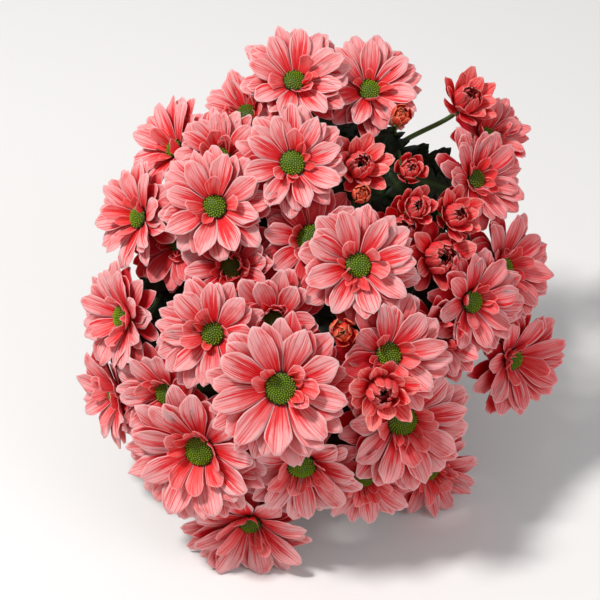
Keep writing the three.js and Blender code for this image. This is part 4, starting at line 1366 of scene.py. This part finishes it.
def add_light(name, light):
    """A round light that shines at the head."""
    right, up, forward = light["place"]
    target = HEAD_FRONT * MILLIMETRE
    place = target + FORWARD * forward + RIGHT * right + UP * up
    data = bpy.data.lights.new(name, "AREA")
    data.shape = "DISK"
    data.size = light["size"]
    data.energy = light["power"]
    data.color = light["tone"]
    lamp = bpy.data.objects.new(name, data)
    lamp.location = place
    lamp.rotation_mode = "QUATERNION"
    lamp.rotation_quaternion = Vector(target - place).to_track_quat("-Z", "Y")
    bpy.context.scene.collection.objects.link(lamp)


def add_lights():
    """A fairly small key light from the upper left and a weak soft fill from the right."""
    add_light("key", KEY_LIGHT)
    add_light("fill", FILL_LIGHT)
    world = bpy.data.worlds.new("world")
    bpy.context.scene.world = world
    world.use_nodes = True
    background = world.node_tree.nodes["Background"]
    background.inputs["Color"].default_value = (1, 1, 1, 1)
    background.inputs["Strength"].default_value = WORLD_STRENGTH
    bpy.context.scene.view_settings.view_transform = "Standard"


def add_camera():
    """On the axis of the head, at the distance from which the places were read."""
    data = bpy.data.cameras.new("camera")
    data.sensor_width = 36
    data.lens = 18 * SIGHT_DISTANCE / PICTURE_HALF
    data.clip_start = 0.05
    data.clip_end = 20
    camera = bpy.data.objects.new("camera", data)
    camera.location = (HEAD_FRONT + FORWARD * SIGHT_DISTANCE) * MILLIMETRE
    camera.rotation_mode = "QUATERNION"
    camera.rotation_quaternion = Vector(-FORWARD).to_track_quat("-Z", "Y")
    bpy.context.scene.collection.objects.link(camera)
    bpy.context.scene.camera = camera


def petal_kind(bloom):
    """The finish of a bloom's petals."""
    if bloom.closed > NEARLY_SHUT:
        return "bud_petals"
    return "young_petals" if bloom.closed > HALF_CLOSED else "petals"


def add_petal_pieces(blooms, materials, room):
    """For each bloom a piece of petals."""
    for bloom in blooms:
        rng = random.Random(bloom.number)
        # Painted shade: the blooms at the right, which lie in shade, are painted redder
        right_painted_shade = RIGHT_PAINTED_SHADE * float(np.clip((bloom.right - RIGHT_FROM) / RIGHT_OVER, 0, 1))
        closing = YOUNG_CLOSING * max(0, bloom.closed - HALF_CLOSED)
        shape = Shape()
        for petal in petals_of(bloom) + more_petals(bloom, room, rng):
            petal["curl"] += closing
            add_petal(shape, bloom, petal, room, rng, right_painted_shade)
        inner = young_petals if bloom.closed > HALF_CLOSED else folded_petals
        for petal in inner(bloom, rng):
            add_petal(shape, bloom, petal, room, rng, right_painted_shade)
        kind = petal_kind(bloom)
        make_piece("petals_" + bloom.name, shape, materials[kind], [bloom.name])


def add_green_pieces(blooms, green, hubs, room):
    """For each bloom a piece of pedicel, cup, disc and the pedicel's leaves."""
    tree = tree_of("stem")
    for bloom in blooms:
        rng = random.Random(500 + bloom.number)
        shape = Shape()
        line = pedicel_line(bloom, hubs, tree)
        radii = np.linspace(PEDICEL_RADIUS * 1.05, PEDICEL_RADIUS * 0.95, len(line))
        add_tube(shape, line, radii, 12, 0.06)
        add_cup_and_disc(shape, bloom)
        add_florets(shape, bloom, rng)
        add_bracts(shape, bloom, rng)
        add_pedicel_leaves(shape, line, room, rng)
        make_piece("green_" + bloom.name, shape, green, ["stem"])


def leaf_score(corners, room):
    """How much of a leaf would show in the gaps of the head, as seen from the front."""
    eye = HEAD_FRONT + FORWARD * SIGHT_DISTANCE
    foot, left, tip, right = corners
    score = 0
    for along in (0.35, 0.6, 0.85):
        for side in (0.25, 0.5, 0.75):
            middle = left + (right - left) * side
            point = foot + (tip - foot) * along + (middle - (foot + tip) / 2) * 0.8
            across = np.dot(point - HEAD_FRONT, RIGHT) / (DOME_HALF_WIDTH - LEAF_MARGIN[0])
            upward = np.dot(point - HEAD_FRONT, UP) / (DOME_HALF_HEIGHT - LEAF_MARGIN[1])
            if across**2 + upward**2 > 0.8:
                score -= 2
            elif room.sees(point, eye):
                score += 1
    return score


def stands_out(corners):
    """Whether a leaf would come too near to the front of the head."""
    for corner in corners - HEAD_FRONT:
        depth = np.dot(corner, FORWARD)
        if depth > dome_forward(np.dot(corner, RIGHT), np.dot(corner, UP)) - LEAF_DEPTH:
            return True
    return False


def leaf_corners(place, way, along, length):
    """Foot, one side, tip and other side of a pedicel's leaf, with a little to spare."""
    wide = np.cross(way, along) * (length * 0.3)
    middle = place + way * (length * 0.55)
    return np.array([place + way * 4, middle - wide, place + way * (length + 2), middle + wide])


def leaf_fits(corners, along, room):
    """Whether a leaf is clear of the surface, the front of the head and the blooms."""
    if corners[:, 2].min() < 2 or stands_out(corners):
        return False
    thickness = along * 2.5
    box = np.concatenate([corners - thickness, corners + thickness])
    return room.clear_for(box, LEAF_SHEETS, None)


def best_leaf(place, along, length, start, room, best):
    """The way round a pedicel in which a leaf shows most, if that is better than the best."""
    for turn in range(PEDICEL_LEAF_TURNS):
        angle = start + turn * 2 * math.pi / PEDICEL_LEAF_TURNS
        side = unit(np.cross(along, RIGHT * math.cos(angle) + UP * math.sin(angle)))
        way = unit(side + along * 0.25)
        corners = leaf_corners(place, way, along, length)
        if leaf_fits(corners, along, room):
            score = leaf_score(corners, room)
            if best is None or score > best["score"]:
                best = {"score": score, "way": way, "corners": corners, "length": length}
    return best


def add_pedicel_leaves(shape, line, room, rng):
    """Small leaves on a pedicel, turned to the gaps between the blooms, where their near-black colour
    stands for the shade there.
    """
    along = unit(line[-1] - line[0])
    for share in PEDICEL_LEAVES:
        place = line[int(share * (len(line) - 1))]
        start = rng.uniform(0, 2 * math.pi)
        full = rng.uniform(*PEDICEL_LEAF_LENGTH)
        leaf = None
        for shorter in PEDICEL_LEAF_SHORTER:
            if leaf is None or leaf["score"] <= 0:
                leaf = best_leaf(place, along, full * shorter, start, room, leaf)
        if leaf is None or leaf["score"] < 0:
            continue
        room.take(leaf["corners"], [(0, 1, 2, 3)], "leaf")
        size = (leaf["length"], PEDICEL_LEAF_ARCH)
        add_leaf(shape, place, leaf["way"], along, *size, rng, PEDICEL_LEAF_GRID)


def add_stems(green, hubs):
    """The main stem, the side branches and the knots at their ends."""
    line = stem_points()
    shape = Shape()
    radii = np.linspace(STEM_RADIUS, STEM_TOP_RADIUS, len(line))
    add_tube(shape, line, radii, 20, 0.035)
    make_piece("main_stem", shape, green, ["stem"])
    shape = Shape()
    for hub, start, outward in hubs.values():
        start_way = unit(outward + FORWARD)
        corners = bowed_corners(start, start_way, hub, outward, np.zeros(3))
        branch = bezier(corners, 16)
        radii = np.linspace(BRANCH_FOOT_RADIUS, BRANCH_RADIUS, len(branch))
        add_tube(shape, branch, radii, 14, 0.05)
        knot = [hub + outward * (KNOT_RADIUS * share) for share in (-1, -0.6, 0, 0.6, 1)]
        add_tube(shape, knot, [1.2, 2.4, 2.75, 2.4, 1.2], 14, 0.03)
    make_piece("branches", shape, green, ["stem"])
    return line


def add_leaves(green, line, hubs):
    """Leaves on the main stem and at the ends of some branches."""
    rng = random.Random(7)
    for number, (share, side, length, spread, arch) in enumerate(STEM_LEAVES):
        base, along = at_share(line, share)
        up = unit(np.array([0, 0, 1.0]) - along * along[2])
        out = turned(up, along, side * DEGREE)
        way = along * math.cos(spread * DEGREE) + out * math.sin(spread * DEGREE)
        shape = Shape()
        add_leaf(shape, base, way, out - along, length, arch, rng)
        make_piece("stem_leaf_%d" % (number + 1), shape, green, ["stem"])
    for branch, round_by, length, lean, arch in HEAD_LEAVES + MORE_HEAD_LEAVES:
        flat = RIGHT * math.cos(round_by * DEGREE) + UP * math.sin(round_by * DEGREE)
        way = flat * math.cos(lean * DEGREE) + FORWARD * math.sin(lean * DEGREE)
        shape = Shape()
        add_leaf(shape, hubs[branch][0], way, FORWARD, length, arch, rng)
        make_piece("head_leaf_%s_%d" % (branch, round_by % 360), shape, green, ["stem"])


def main():
    blooms = [Bloom(row, number) for number, row in enumerate(BLOOMS)]
    materials = {name: petal_material(name, palette) for name, palette in PALETTES.items()}
    green = green_material("green")
    hubs = branch_ends()
    room = Room(blooms)
    add_petal_pieces(blooms, materials, room)
    add_green_pieces(blooms, green, hubs, room)
    line = add_stems(green, hubs)
    add_leaves(green, line, hubs)
    add_stage()
    add_lights()
    add_camera()


main()
